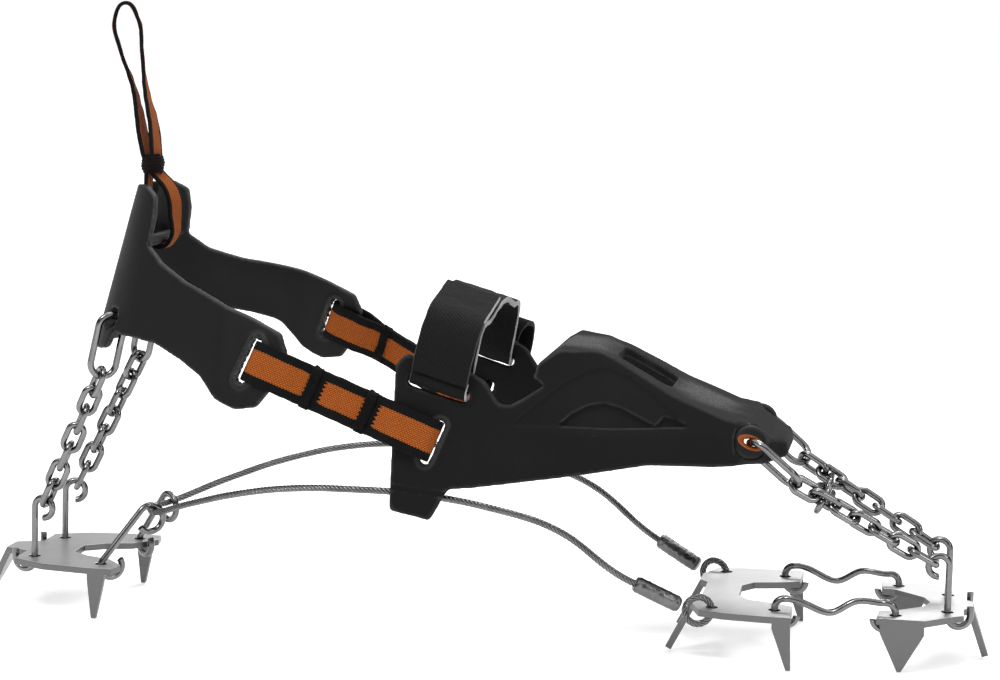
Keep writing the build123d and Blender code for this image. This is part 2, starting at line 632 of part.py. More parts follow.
bar_len = 3.0
bar_t = 0.6
with BuildPart() as strap_bars_near:
    for s in (19.9, L - 21.9):
        with BuildSketch(Plane(origin=strap_from + strap_run * (s - bar_len / 2), x_dir=strap_up,
                               z_dir=strap_run)):
            Rectangle(side_strap_w + 2 * bar_t, 2 * t + 2 * bar_t)
            Rectangle(side_strap_w + 0.1, 2 * t + 0.1, mode=Mode.SUBTRACT)
        extrude(amount=bar_len)

# ---- instep strap: over the arch and round the bars of both strap frames --------------------------
wall_y = toe_half_width(*tab_slot, toe_wall / 2)
strap_lean = Vector(sin(radians(strap_tilt)), 0, cos(radians(strap_tilt)))
instep_plane = Plane(origin=(tab_slot[0], 0, tab_slot[1]), x_dir=(0, 1, 0),
                     z_dir=Vector(0, 1, 0).cross(strap_lean))
inner_y = wall_y - 4.5
outer_y = wall_y + 3.7
arch = [(-inner_y, 0), (-inner_y + 0.4, 8), (-inner_y + 2.6, 19), (-22, instep_top - 3.8), (0, instep_top)]
with BuildPart() as instep_strap:
    with BuildSketch(instep_plane):
        with BuildLine() as arch_line:
            Spline(*arch, *[(-y, v) for y, v in reversed(arch[:-1])])
            Line((-inner_y, 0), (-outer_y, 0))
            Line((-outer_y, 0), (-outer_y, 2.0))
            Line((inner_y, 0), (outer_y, 0))
            Line((outer_y, 0), (outer_y - 0.4, 13.0))
        trace(line_width=instep_t)
    extrude(amount=instep_w / 2, both=True)

with BuildPart() as instep_tail:
    with BuildSketch(instep_plane):
        with BuildLine() as tail_line:
            Spline((-outer_y, 3.2), (-outer_y + 0.6, 9), (-inner_y - 0.6, 19.5), (-23.6, instep_top - 0.9),
                   (-12, instep_top + 1.9))
        trace(line_width=instep_t)
    extrude(amount=instep_w / 2, both=True)

# ---- pull loop ---------------------------------------------------------------------------------------
knot = (-106.2, 140.6)
with BuildPart() as loop_anchor:
    bx, bz = tab_bar
    with BuildSketch(Plane.XZ):
        with BuildLine() as anchor_line:
            Spline((knot[0] + 1.2, knot[1] - 4.2), (bx + 3.4, bz + 14.5), (bx + 4.6, bz + 7.0),
                   (bx + 3.9, bz - 0.4), (bx, bz - 3.1), (bx - 3.7, bz), (bx - 3.0, bz + 7.0),
                   (bx - 4.2, bz + 13.0), (knot[0] - 1.6, knot[1] - 4.2))
        trace(line_width=loop_t)
    extrude(amount=loop_w / 2, both=True)

with BuildPart() as pull_loop:
    with BuildSketch(Plane.XZ):
        with BuildLine() as loop_line:
            Spline((knot[0] - 1.3, knot[1] + 0.4), (-109.4, 149.0), (-112.8, 164.6), (-117.2, 176.0),
                   (-119.0, 186.0), (-115.6, 190.6), (-111.4, 185.4), (-110.2, 176.0), (-108.9, 165.0),
                   (-106.0, 152.0), (knot[0] + 1.3, knot[1] + 0.4))
        trace(line_width=loop_t)
    extrude(amount=loop_w / 2, both=True)

keeper_r = 3.5
with BuildPart() as loop_keeper:
    with BuildSketch(Plane.XZ):
        with Locations(knot):
            Circle(keeper_r)
    extrude(amount=loop_w / 2 + 1.0, both=True)
    with BuildSketch(Plane.XY.offset(knot[1])):
        with Locations((knot[0], 0)):
            Rectangle(5.6, loop_w + 0.3)
    extrude(amount=6.0, mode=Mode.SUBTRACT)

# ---- cross chain tying the two toe chains together -------------------------------------------------
cross_count = 5
cross_sag = 1.6
tied = chain_plane(toe_chain_top, toe_chain_end, chain_count, 1, toe_side, toe_twist)
inward = tied.y_dir if tied.y_dir.Y > 0 else -tied.y_dir
cross_from = tied.origin + inward * ((link_in_w + link_d) / 2) - Vector(0, link_d / 2 + 0.05, 0)
half_span = -cross_from.Y
bow_r = (half_span ** 2 + cross_sag ** 2) / (2 * cross_sag)
bow_angle = 2 * Vector(0, 0, -1).get_angle(Vector(half_span, 0, cross_sag - bow_r)) / cross_count
cross_points = []
for k in range(cross_count + 1):
    turn = radians((k - cross_count / 2) * bow_angle)
    cross_points.append(Vector(cross_from.X, bow_r * sin(turn),
                               cross_from.Z + bow_r - cross_sag - bow_r * cos(turn)))
toe_chain_dir = unit(toe_chain_end - toe_chain_top)
cross_pitch = (cross_points[1] - cross_points[0]).length

with BuildPart() as cross_link:
    h, r = oval_points(cross_pitch + link_slack, link_in_w, link_d)
    with BuildLine() as cross_link_line:
        Line((-h, r), (h, r))
        ThreePointArc((h, r), (h + r, 0), (h, -r))
        Line((h, -r), (-h, -r))
        ThreePointArc((-h, -r), (-h - r, 0), (-h, r))
    with BuildSketch(Plane(origin=(-h, r, 0), z_dir=(1, 0, 0))):
        Circle(link_d / 2)
    sweep(path=cross_link_line.line)

with BuildPart() as cross_chain:
    for k in range(cross_count):
        along = unit(cross_points[k + 1] - cross_points[k])
        flat = across(along, Vector(toe_chain_dir.X, 0, toe_chain_dir.Z))
        if k % 2:
            flat = along.cross(flat)
        add(Plane(origin=(cross_points[k] + cross_points[k + 1]) * 0.5, x_dir=along, z_dir=flat)
            * cross_link.part)

# ---- pieces that come in pairs: the far one mirrors the near one --------------------------------------
pairs = {
    "grommet": grommet_near, "side_strap": side_strap_near, "strap_bars": strap_bars_near,
    "heel_long_link": heel_long_link_near, "toe_long_link": toe_long_link_near,
    "heel_chain": heel_chain_near, "toe_chain": toe_chain_near,
    "heel_hook": heel_hook_near, "toe_hook": toe_hook_near, "ring_hook": ring_hook_near,
    "connector": connector_near, "cable_eye": cable_eye_near, "ferrule": ferrule_near,
}
singles = {
    "heel_cup": heel_cup, "toe_harness": toe_harness, "instep_strap": instep_strap,
    "instep_tail": instep_tail, "loop_anchor": loop_anchor, "pull_loop": pull_loop,
    "loop_keeper": loop_keeper, "heel_plate": heel_plate, "forefoot_plate": forefoot_plate,
    "toe_plate": toe_plate, "cross_chain": cross_chain, "cable": cable,
}
for name, piece in singles.items():
    piece.part.label = name
    export_step(piece.part, f"parts/{name}.step")
for name, piece in pairs.items():
    piece.part.label = f"{name}_near"
    export_step(piece.part, f"parts/{name}_near.step")
    with BuildPart() as far_piece:
        add(mirror(piece.part, about=Plane.XZ))
    far_piece.part.label = f"{name}_far"
    export_step(far_piece.part, f"parts/{name}_far.step")
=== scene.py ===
import math
import random
import bmesh
import bpy
from mathutils import Matrix, Vector, noise


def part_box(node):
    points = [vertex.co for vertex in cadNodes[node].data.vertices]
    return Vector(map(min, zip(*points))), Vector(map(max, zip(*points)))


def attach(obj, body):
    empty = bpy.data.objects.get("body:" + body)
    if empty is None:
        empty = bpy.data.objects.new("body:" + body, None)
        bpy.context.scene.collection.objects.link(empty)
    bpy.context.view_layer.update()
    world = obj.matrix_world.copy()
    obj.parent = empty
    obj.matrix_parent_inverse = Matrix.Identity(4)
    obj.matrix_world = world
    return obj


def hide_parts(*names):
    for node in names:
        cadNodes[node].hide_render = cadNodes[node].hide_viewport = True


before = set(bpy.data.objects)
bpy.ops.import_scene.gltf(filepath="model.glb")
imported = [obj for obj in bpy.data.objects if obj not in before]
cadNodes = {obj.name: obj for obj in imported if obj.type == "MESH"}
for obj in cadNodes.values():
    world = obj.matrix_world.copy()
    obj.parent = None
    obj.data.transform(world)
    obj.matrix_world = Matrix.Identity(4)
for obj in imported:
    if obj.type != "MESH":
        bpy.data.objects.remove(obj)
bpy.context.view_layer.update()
mm = 0.001
print("frame loaded,", len(cadNodes), "nodes")


# camera and lights

cameraLook = {"place": (0.1443, -0.8320, 0.2001), "aim": (0.006, 0.0, 0.0902), "lens": 98.7, "sensor": 36.0,
              "rollDegrees": 1.6, "clip": (0.01, 50.0)}
cameraData = bpy.data.cameras.new("viewCamera")
cameraObject = bpy.data.objects.new("viewCamera", cameraData)
bpy.context.scene.collection.objects.link(cameraObject)
lookDirection = Vector(cameraLook["aim"]) - Vector(cameraLook["place"])
cameraRoll = Matrix.Rotation(math.radians(cameraLook["rollDegrees"]), 3, "Z")
cameraTurn = lookDirection.to_track_quat("-Z", "Y").to_matrix() @ cameraRoll
cameraObject.matrix_world = Matrix.Translation(cameraLook["place"]) @ cameraTurn.to_4x4()
cameraData.lens, cameraData.sensor_width = cameraLook["lens"], cameraLook["sensor"]
cameraData.clip_start, cameraData.clip_end = cameraLook["clip"]
bpy.context.scene.camera = cameraObject
bpy.context.scene.view_settings.view_transform = "Standard"

studioLights = {
    "keyLight": {"place": (-0.45, -0.9, 1.3), "size": 0.4, "power": 9.5},
    "fillLight": {"place": (1.2, -0.8, 0.7), "size": 0.35, "power": 3.6},
    "rimLight": {"place": (0.2, 1.2, 1.1), "size": 0.5, "power": 8.0},
    "topLight": {"place": (0.0, 0.1, 1.5), "size": 0.6, "power": 4.5},
}
lightTarget = Vector((0, 0, 0.08))
for lightName, look in studioLights.items():
    lightData = bpy.data.lights.new(lightName, "AREA")
    lightData.energy, lightData.size = look["power"], look["size"]
    lightObject = bpy.data.objects.new(lightName, lightData)
    bpy.context.scene.collection.objects.link(lightObject)
    lightTurn = (lightTarget - Vector(look["place"])).to_track_quat("-Z", "Y").to_matrix().to_4x4()
    lightObject.matrix_world = Matrix.Translation(look["place"]) @ lightTurn
print("camera and lights ready")


# node helpers

def toned(color, factor=1.0):
    # a colour made darker or lighter, with its alpha
    return tuple(part * factor for part in color) + (1,)


def grey(value):
    return toned((value,) * 3)


def newMaterial(name):
    material = bpy.data.materials.new(name)
    material.use_nodes = True
    tree = material.node_tree
    return material, tree, tree.nodes["Principled BSDF"]


def addNode(tree, kind, place=(0, 0), **settings):
    node = tree.nodes.new(kind)
    node.location = place
    for key, value in settings.items():
        setattr(node, key, value)
    return node


def feed(tree, socket, value):
    # links a socket to another, or sets it to a plain value
    if isinstance(value, bpy.types.NodeSocket):
        tree.links.new(value, socket)
    else:
        socket.default_value = value


def mathNode(tree, operation, *values):
    node = addNode(tree, "ShaderNodeMath", operation=operation)
    for socket, value in zip(node.inputs, values):
        feed(tree, socket, value)
    return node.outputs[0]


def times(tree, first, *others):
    for other in others:
        first = mathNode(tree, "MULTIPLY", first, other)
    return first


def rangeNode(tree, value, low, high, first=0.0, last=1.0, **settings):
    # low to high becomes first to last
    node = addNode(tree, "ShaderNodeMapRange", **settings)
    for label, amount in (("Value", value), ("From Min", low), ("From Max", high), ("To Min", first), ("To Max", last)):
        feed(tree, node.inputs[label], amount)
    return node.outputs["Result"]


def partsOf(tree, vector):
    node = addNode(tree, "ShaderNodeSeparateXYZ")
    tree.links.new(vector, node.inputs[0])
    return node.outputs


def mixColor(tree, factor, first, second):
    node = addNode(tree, "ShaderNodeMix", data_type="RGBA")
    for label, value in (("Factor", factor), ("A", first), ("B", second)):
        feed(tree, node.inputs[label], value)
    return node.outputs["Result"]


def rampNode(tree, factor, stops):
    node = addNode(tree, "ShaderNodeValToRGB")
    ramp = node.color_ramp
    ramp.elements[0].position, ramp.elements[0].color = stops[0]
    ramp.elements[1].position, ramp.elements[1].color = stops[-1]
    for position, color in stops[1:-1]:
        ramp.elements.new(position).color = color
    feed(tree, node.inputs["Fac"], factor)
    return node.outputs["Color"]


def newGroup(name, inputs, outputs):
    group = bpy.data.node_groups.new(name, "ShaderNodeTree")
    for label, kind, value in inputs:
        socket = group.interface.new_socket(label, in_out="INPUT", socket_type=kind)
        if value is not None:
            socket.default_value = value
    for label in outputs:
        group.interface.new_socket(label, in_out="OUTPUT", socket_type="NodeSocketFloat")
    return group, addNode(group, "NodeGroupInput", (-900, 0)), addNode(group, "NodeGroupOutput", (600, 0))


def useGroup(tree, group, **values):
    node = addNode(tree, "ShaderNodeGroup", node_tree=group)
    for label, value in values.items():
        feed(tree, node.inputs[label], value)
    return node


# surroundings: plain white to look at, with a dark band between horizon and dome in what steel reflects

surroundings = {"seen": 1.02, "low": 0.95, "lowEnd": 0.59, "darkBand": 0.05, "bandStart": 0.63, "bandEnd": 0.76,
                "dome": 1.3, "domeStart": 0.83}
world = bpy.data.worlds.new("studioWorld")
world.use_nodes = True
worldTree = world.node_tree
worldHeight = partsOf(worldTree, addNode(worldTree, "ShaderNodeTexCoord").outputs["Generated"])["Z"]
worldTone = rampNode(worldTree, rangeNode(worldTree, worldHeight, -1.0, 1.0), [
    (surroundings["lowEnd"], grey(surroundings["low"])), (surroundings["bandStart"], grey(surroundings["darkBand"])),
    (surroundings["bandEnd"], grey(surroundings["darkBand"])), (surroundings["domeStart"], grey(surroundings["dome"]))])
seenDirectly = addNode(worldTree, "ShaderNodeLightPath").outputs["Is Camera Ray"]
worldColor = mixColor(worldTree, seenDirectly, worldTone, grey(surroundings["seen"]))
worldTree.links.new(worldColor, worldTree.nodes["Background"].inputs["Color"])
bpy.context.scene.world = world
print("surroundings ready")


# shared effects

grainDetail = 4.0


def makeGrain():
    # speckle at two sizes, for moulded skin, steel and webbing
    group, enter, leave = newGroup("fineGrain", [
        ("Place", "NodeSocketVector", None), ("Fine", "NodeSocketFloat", 1500.0),
        ("Coarse", "NodeSocketFloat", 120.0)], ["Value", "Blotch"])
    for label, result in (("Fine", "Value"), ("Coarse", "Blotch")):
        node = addNode(group, "ShaderNodeTexNoise")
        node.inputs["Detail"].default_value = grainDetail
        group.links.new(enter.outputs["Place"], node.inputs["Vector"])
        group.links.new(enter.outputs[label], node.inputs["Scale"])
        group.links.new(node.outputs["Fac"], leave.inputs[result])
    return group


threadShape = {"acrossRoundness": 3.6, "alongRoundness": 3.4, "gapBelow": 0.12, "gapUpTo": 0.5}


def makeWeave():
    # threads in columns: Along and Across in millimetres, Shift sets plain weave or twill; the gap output marks where
    # painted shade darkens between threads
    group, enter, leave = newGroup("threadWeave", [
        ("Along", "NodeSocketFloat", 0.0), ("Across", "NodeSocketFloat", 0.0), ("Thread", "NodeSocketFloat", 0.6),
        ("Stitch", "NodeSocketFloat", 0.9), ("Shift", "NodeSocketFloat", 0.5)], ["Height", "GapShade"])
    column = mathNode(group, "DIVIDE", enter.outputs["Across"], enter.outputs["Thread"])
    row = mathNode(group, "DIVIDE", enter.outputs["Along"], enter.outputs["Stitch"])
    step = times(group, mathNode(group, "FLOOR", column), enter.outputs["Shift"])
    rounds = []
    for turn, roundness in ((column, threadShape["acrossRoundness"]),
                            (mathNode(group, "ADD", row, step), threadShape["alongRoundness"])):
        off = mathNode(group, "SUBTRACT", mathNode(group, "FRACT", turn), 0.5)
        rounds.append(mathNode(group, "SUBTRACT", 1.0, times(group, off, off, roundness)))
    height = times(group, *rounds)
    gapShade = rangeNode(group, height, threadShape["gapBelow"], threadShape["gapUpTo"], 1.0, 0.0)
    group.links.new(height, leave.inputs["Height"])
    group.links.new(gapShade, leave.inputs["GapShade"])
    return group


edgeWearAndHighlightNoise = {"scale": 260.0, "lift": 0.35}


def makeEdgeWearAndHighlight():
    # mask that grows on convex edges, broken up by noise: rub wear, partly a painted highlight
    group, enter, leave = newGroup("edgeWearAndHighlight", [
        ("Place", "NodeSocketVector", None), ("Start", "NodeSocketFloat", 0.52), ("Full", "NodeSocketFloat", 0.6)],
        ["Mask"])
    edges = addNode(group, "ShaderNodeNewGeometry").outputs["Pointiness"]
    spread = rangeNode(group, edges, enter.outputs["Start"], enter.outputs["Full"])
    rub = addNode(group, "ShaderNodeTexNoise")
    rub.inputs["Scale"].default_value = edgeWearAndHighlightNoise["scale"]
    group.links.new(enter.outputs["Place"], rub.inputs["Vector"])
    broken = times(group, spread, mathNode(group, "ADD", rub.outputs["Fac"], edgeWearAndHighlightNoise["lift"]))
    group.links.new(broken, leave.inputs["Mask"])
    return group


grainGroup, weaveGroup, edgeWearAndHighlightGroup = makeGrain(), makeWeave(), makeEdgeWearAndHighlight()


def objectPlace(tree):
    return addNode(tree, "ShaderNodeTexCoord", (-1200, 0)).outputs["Object"]


def facingOf(tree):
    return partsOf(tree, addNode(tree, "ShaderNodeNewGeometry").outputs["Normal"])["Z"]


def bumpFrom(tree, shader, height, strength, distance):
    bump = addNode(tree, "ShaderNodeBump")
    bump.inputs["Strength"].default_value = strength
    bump.inputs["Distance"].default_value = distance
    feed(tree, bump.inputs["Height"], height)
    tree.links.new(bump.outputs["Normal"], shader.inputs["Normal"])


def fadeOut(tree, value, edge, softness):
    # one well inside the edge, falling smoothly to nothing outside it
    return rangeNode(tree, value, edge - softness, edge + softness, 1.0, 0.0, interpolation_type="SMOOTHSTEP")


rubLook = {"ragged": 0.012, "endSoftness": 0.005, "halfWidth": 0.0125, "sideSoftness": 0.006, "facingUp": (0.45, 0.85),
           "speckle": (0.40, 0.60), "strongest": 0.85, "weakest": 0.08, "paler": 2.0}


def topRub(tree, place, grain, stretches):
    # scuffed grey patches on upward faces, within the given stretches along the boot
    spot = partsOf(tree, place)
    up = rangeNode(tree, facingOf(tree), *rubLook["facingUp"])
    ragged = mathNode(tree, "MULTIPLY_ADD", grain.outputs["Blotch"], rubLook["ragged"], -rubLook["ragged"] / 2)
    inside = None
    for start, end in stretches:
        off = mathNode(tree, "ABSOLUTE", mathNode(tree, "SUBTRACT", spot["X"], (start + end) / 2))
        band = fadeOut(tree, mathNode(tree, "ADD", off, ragged), (end - start) / 2, rubLook["endSoftness"])
        inside = band if inside is None else mathNode(tree, "MAXIMUM", inside, band)
    aside = mathNode(tree, "ADD", mathNode(tree, "ABSOLUTE", spot["Y"]), ragged)
    middle = fadeOut(tree, aside, rubLook["halfWidth"], rubLook["sideSoftness"])
    speck = rangeNode(tree, grain.outputs["Value"], *rubLook["speckle"])
    strength = mathNode(tree, "MULTIPLY_ADD", speck, rubLook["strongest"], rubLook["weakest"])
    return times(tree, inside, middle, up, strength)


mouldedLook = {"pebble": 2600.0, "blotch": 70.0, "wearAndHighlightStart": 0.512, "wearAndHighlightFull": 0.575, "darker": 0.85, "lighter": 1.15,
               "roughSpread": 0.22, "specular": 0.16, "bump": 0.25, "bumpDepth": 0.00012}


def makeMoulded(name, base, light, roughness, rubbed=()):
    # dark elastomer: fine pebbled skin, paler edges that are rub wear and partly painted highlight, faint blotches
    material, tree, shader = newMaterial(name)
    place, look = objectPlace(tree), mouldedLook
    grain = useGroup(tree, grainGroup, Place=place, Fine=look["pebble"], Coarse=look["blotch"])
    wearAndHighlight = useGroup(tree, edgeWearAndHighlightGroup, Place=place, Start=look["wearAndHighlightStart"], Full=look["wearAndHighlightFull"])
    color = mixColor(tree, grain.outputs["Blotch"], toned(base, look["darker"]), toned(base, look["lighter"]))
    # paler convex edges: rub wear, and a painted highlight along them
    color = mixColor(tree, wearAndHighlight.outputs["Mask"], color, toned(light))
    if rubbed:
        color = mixColor(tree, topRub(tree, place, grain, rubbed), color, toned(light, rubLook["paler"]))
    tree.links.new(color, shader.inputs["Base Color"])
    rough = mathNode(tree, "MULTIPLY_ADD", grain.outputs["Blotch"], look["roughSpread"],
                     roughness - look["roughSpread"] / 2)
    tree.links.new(rough, shader.inputs["Roughness"])
    shader.inputs["Specular IOR Level"].default_value = look["specular"]
    bumpFrom(tree, shader, grain.outputs["Value"], look["bump"], look["bumpDepth"])
    return material


steelLook = {"blotch": 160.0, "roughSpread": 0.16, "flatAbove": 0.75, "steepBelow": 0.4, "flankShadeTone": 0.15,
             "bump": 0.2, "bumpDepth": 0.00008}


def makeSteel(name, base, dark, roughness, grainScale, flankPaintedShade=0.0):
    # speckled steel, its flanks painted darker as shade where they don't face up or down
    material, tree, shader = newMaterial(name)
    look = steelLook
    grain = useGroup(tree, grainGroup, Place=objectPlace(tree), Fine=grainScale, Coarse=look["blotch"])
    color = mixColor(tree, grain.outputs["Blotch"], toned(dark), toned(base))
    if flankPaintedShade:
        # painted shade: flanks facing sideways are darkened towards a dim steel tone
        flatness = mathNode(tree, "ABSOLUTE", facingOf(tree))
        flankShade = times(tree, rangeNode(tree, flatness, look["flatAbove"], look["steepBelow"]), flankPaintedShade)
        color = mixColor(tree, flankShade, color, toned(base, look["flankShadeTone"]))
    tree.links.new(color, shader.inputs["Base Color"])
    shader.inputs["Metallic"].default_value = 1.0
    rough = mathNode(tree, "MULTIPLY_ADD", grain.outputs["Value"], look["roughSpread"],
                     roughness - look["roughSpread"] / 2)
    tree.links.new(rough, shader.inputs["Roughness"])
    bumpFrom(tree, shader, grain.outputs["Value"], look["bump"], look["bumpDepth"])
    return material


webbingLook = {"fuzz": 900.0, "fuzzBlotch": 90.0, "fuzzShare": 0.45, "fuzzTone": 0.55, "jagStart": 0.2,
               "toothStart": 0.3, "toothPitch": 0.7, "toothSlope": 1.6, "borderTone": 2.2, "barTone": 1.6,
               "bindingWidth": 0.3, "sheen": 0.01, "sheenRoughness": 0.5, "specular": 0.1, "bump": 0.8}


def makeWebbing(name, thread, gapShade, halfWidth=None, edge=(0.0016, 0.0016, 0.0018), edgeWidth=1.6, bars=(),
                threadMm=0.62, stitchMm=0.95, shift=0.5, rough=0.8, lift=0.00035, jagMm=0.55, binding=None,
                bindingFrom=0.0):
    # woven band: coloured middle with painted shade between the threads, dark edges, dark bars where it is sewn, a
    # light binding on one edge
    material, tree, shader = newMaterial(name)
    look = webbingLook
    place = addNode(tree, "ShaderNodeAttribute", attribute_name="bandMm").outputs["Vector"]
    along, across = partsOf(tree, place)[:2]     # millimetres along and across the band
    weave = useGroup(tree, weaveGroup, Along=along, Across=across, Thread=threadMm, Stitch=stitchMm, Shift=shift)
    # painted shade: the gaps between threads take the darker colour
    color = mixColor(tree, weave.outputs["GapShade"], toned(thread), toned(gapShade))
    tone = useGroup(tree, grainGroup, Place=objectPlace(tree), Fine=look["fuzz"], Coarse=look["fuzzBlotch"])
    fuzz = times(tree, tone.outputs["Value"], look["fuzzShare"])
    color = mixColor(tree, fuzz, color, toned(thread, look["fuzzTone"]))
    if halfWidth:
        stitches = mathNode(tree, "ADD", along, look["jagStart"])
        jag = times(tree, mathNode(tree, "PINGPONG", stitches, stitchMm / 2), jagMm)
        reach = mathNode(tree, "ADD", mathNode(tree, "ABSOLUTE", across), jag)
        border = mathNode(tree, "GREATER_THAN", reach, halfWidth - edgeWidth)
        # the dark edge also gets painted shade between its threads
        color = mixColor(tree, border, color,
                         mixColor(tree, weave.outputs["GapShade"], toned(edge, look["borderTone"]), toned(edge)))
    for start, end in bars:
        teeth = mathNode(tree, "ADD", across, look["toothStart"])
        tooth = times(tree, mathNode(tree, "PINGPONG", teeth, look["toothPitch"]), look["toothSlope"])
        after = mathNode(tree, "GREATER_THAN", mathNode(tree, "ADD", along, tooth), start)
        before = mathNode(tree, "LESS_THAN", mathNode(tree, "SUBTRACT", along, tooth), end)
        color = mixColor(tree, times(tree, after, before), color, toned(edge, look["barTone"]))
    if binding:
        border = mathNode(tree, "GREATER_THAN", across, halfWidth - look["bindingWidth"])
        begun = mathNode(tree, "GREATER_THAN", along, bindingFrom)
        color = mixColor(tree, times(tree, border, begun), color, toned(binding))
    tree.links.new(color, shader.inputs["Base Color"])
    for label, value in (("Roughness", rough), ("Sheen Weight", look["sheen"]),
                         ("Sheen Roughness", look["sheenRoughness"]), ("Specular IOR Level", look["specular"])):
        shader.inputs[label].default_value = value
    bumpFrom(tree, shader, weave.outputs["Height"], look["bump"], lift)
    return material


rubberTones = {"base": (0.0042, 0.0043, 0.0046), "light": (0.05, 0.05, 0.052)}
mouldedSkin = makeMoulded("mouldedHarness", **rubberTones, roughness=0.56)
toeSkin = makeMoulded("mouldedToe", **rubberTones, roughness=0.84, rubbed=((0.020, 0.041), (0.0615, 0.080)))
orangeRim = makeMoulded("orangeEyelet", base=(0.21, 0.045, 0.006), light=(0.28, 0.08, 0.014), roughness=0.45)
# the plates' flanks get painted shade
plateSteel = makeSteel("blastedPlateSteel", base=(0.74, 0.74, 0.74), dark=(0.60, 0.60, 0.61), roughness=0.38,
                       grainScale=2400.0, flankPaintedShade=0.97)
chainSteel = makeSteel("chainSteel", base=(0.25, 0.25, 0.25), dark=(0.10, 0.10, 0.103), roughness=0.18,
                       grainScale=1800.0)
wireSteel = makeSteel("hookWireSteel", base=(0.22, 0.22, 0.22), dark=(0.09, 0.09, 0.093), roughness=0.2,
                      grainScale=1800.0)
cableSteel = makeSteel("strandedCable", base=(0.22, 0.22, 0.22), dark=(0.08, 0.08, 0.083), roughness=0.26,
                       grainScale=1800.0)
crimpSteel = makeSteel("crimpedFerrule", base=(0.22, 0.22, 0.22), dark=(0.025, 0.025, 0.026), roughness=0.34,
                       grainScale=700.0)
print("materials ready")


# steel pieces carried over from the frame

steelOf = {
    "cross_chain": chainSteel, "heel_long_link": chainSteel, "toe_long_link": chainSteel, "heel_chain": chainSteel,
    "toe_chain": chainSteel, "heel_hook": wireSteel, "toe_hook": wireSteel, "ring_hook": wireSteel,
    "connector": wireSteel,
}
for nodeName, node in cadNodes.items():
    family = nodeName.removesuffix("_near").removesuffix("_far")
    if family in steelOf:
        node.data.materials.clear()
        node.data.materials.append(steelOf[family])
print("chains and hooks coloured")


# building helpers

routeSteps = 14
weldReach = 0.00001


def meshFromCurve(curve):
    # the shape a curve makes; the curve itself is removed
    guide = bpy.data.objects.new("curveGuide", curve)
    bpy.context.scene.collection.objects.link(guide)
    bpy.context.view_layer.update()
    mesh = bpy.data.meshes.new_from_object(guide.evaluated_get(bpy.context.evaluated_depsgraph_get()))
    bpy.data.objects.remove(guide)
    bpy.data.curves.remove(curve)
    return mesh


def takeIn(build, mesh):
    # adds a mesh to a build; the mesh itself is removed
    build.from_mesh(mesh)
    bpy.data.meshes.remove(mesh)


def routeOf(points, closed=False, spacing=0.8):
    # even points, in metres, along a smooth line through the given millimetre points
    curve = bpy.data.curves.new("routeGuide", "CURVE")
    curve.dimensions, curve.resolution_u = "3D", routeSteps
    spline = curve.splines.new("BEZIER")
    spline.bezier_points.add(len(points) - 1)
    spline.use_cyclic_u = closed
    for knot, place in zip(spline.bezier_points, points):
        knot.co = Vector(place) * mm
        knot.handle_left_type = knot.handle_right_type = "AUTO"
    line = meshFromCurve(curve)
    dense = [v.co.copy() for v in line.vertices]
    bpy.data.meshes.remove(line)
    if closed:
        dense.append(dense[0].copy())
    reach = [0.0]
    for a, b in zip(dense, dense[1:]):
        reach.append(reach[-1] + (b - a).length)
    count = max(2, round(reach[-1] / (spacing * mm)))
    even, k = [], 0
    for i in range(count + (0 if closed else 1)):
        target = reach[-1] * i / count
        while k < len(reach) - 2 and reach[k + 1] < target:
            k += 1
        share = (target - reach[k]) / max(reach[k + 1] - reach[k], 1e-9)
        even.append(dense[k].lerp(dense[k + 1], min(share, 1.0)))
    return even


def finishPiece(name, build, material, body, replaced=(), smooth=True):
    mesh = bpy.data.meshes.new(name)
    build.to_mesh(mesh)
    build.free()
    if smooth:
        mesh.shade_smooth()
    piece = bpy.data.objects.new(name, mesh)
    bpy.context.scene.collection.objects.link(piece)
    mesh.materials.append(material)
    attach(piece, body)
    if replaced:
        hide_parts(*replaced)
    return piece


bandRipple = {"alongScale": 0.35, "acrossScale": 0.5, "layer": 7.0}
bandEdge = {"rounding": 0.3, "segments": 2, "sharpDegrees": 50.0}


def weaveBand(route, sides, width, closed=False, columns=10, ripple=0.0, flare=None):
    # a band laid along the route: one row of points across it, extruded step by step
    build = bmesh.new()
    layer = build.verts.layers.float_vector.new("bandMm")
    row, firstRow, travelled = [], [], 0.0
    for i, place in enumerate(route):
        side = Vector(sides(i / max(len(route) - 1, 1)) if callable(sides) else sides)
        if i:
            travelled += (place - route[i - 1]).length / mm
        wide = width * (flare(travelled) if flare else 1.0)
        if i == 0:
            row = [build.verts.new((0, 0, 0)) for k in range(columns + 1)]
            for a, b in zip(row, row[1:]):
                build.edges.new((a, b))
            firstRow = row
        else:
            edges = [build.edges.get((a, b)) for a, b in zip(row, row[1:])]
            made = bmesh.ops.extrude_edge_only(build, edges=edges)["geom"]
            fresh = {v for v in made if isinstance(v, bmesh.types.BMVert)}
            row = [next(e.other_vert(old) for e in old.link_edges if e.other_vert(old) in fresh) for old in row]
        for k, v in enumerate(row):
            across = (k / columns - 0.5) * wide
            spot = Vector((travelled * bandRipple["alongScale"], across * bandRipple["acrossScale"],
                           bandRipple["layer"]))
            wave = ripple * mm * noise.noise(spot)
            v.co = place + side * (across * mm) + Vector((wave, wave, wave))
            v[layer] = (travelled, (k / columns - 0.5) * width, 0)
    if closed:
        first = [build.edges.get((a, b)) for a, b in zip(firstRow, firstRow[1:])]
        last = [build.edges.get((a, b)) for a, b in zip(row, row[1:])]
        bmesh.ops.bridge_loops(build, edges=first + last)
    bmesh.ops.recalc_face_normals(build, faces=build.faces[:])
    return build


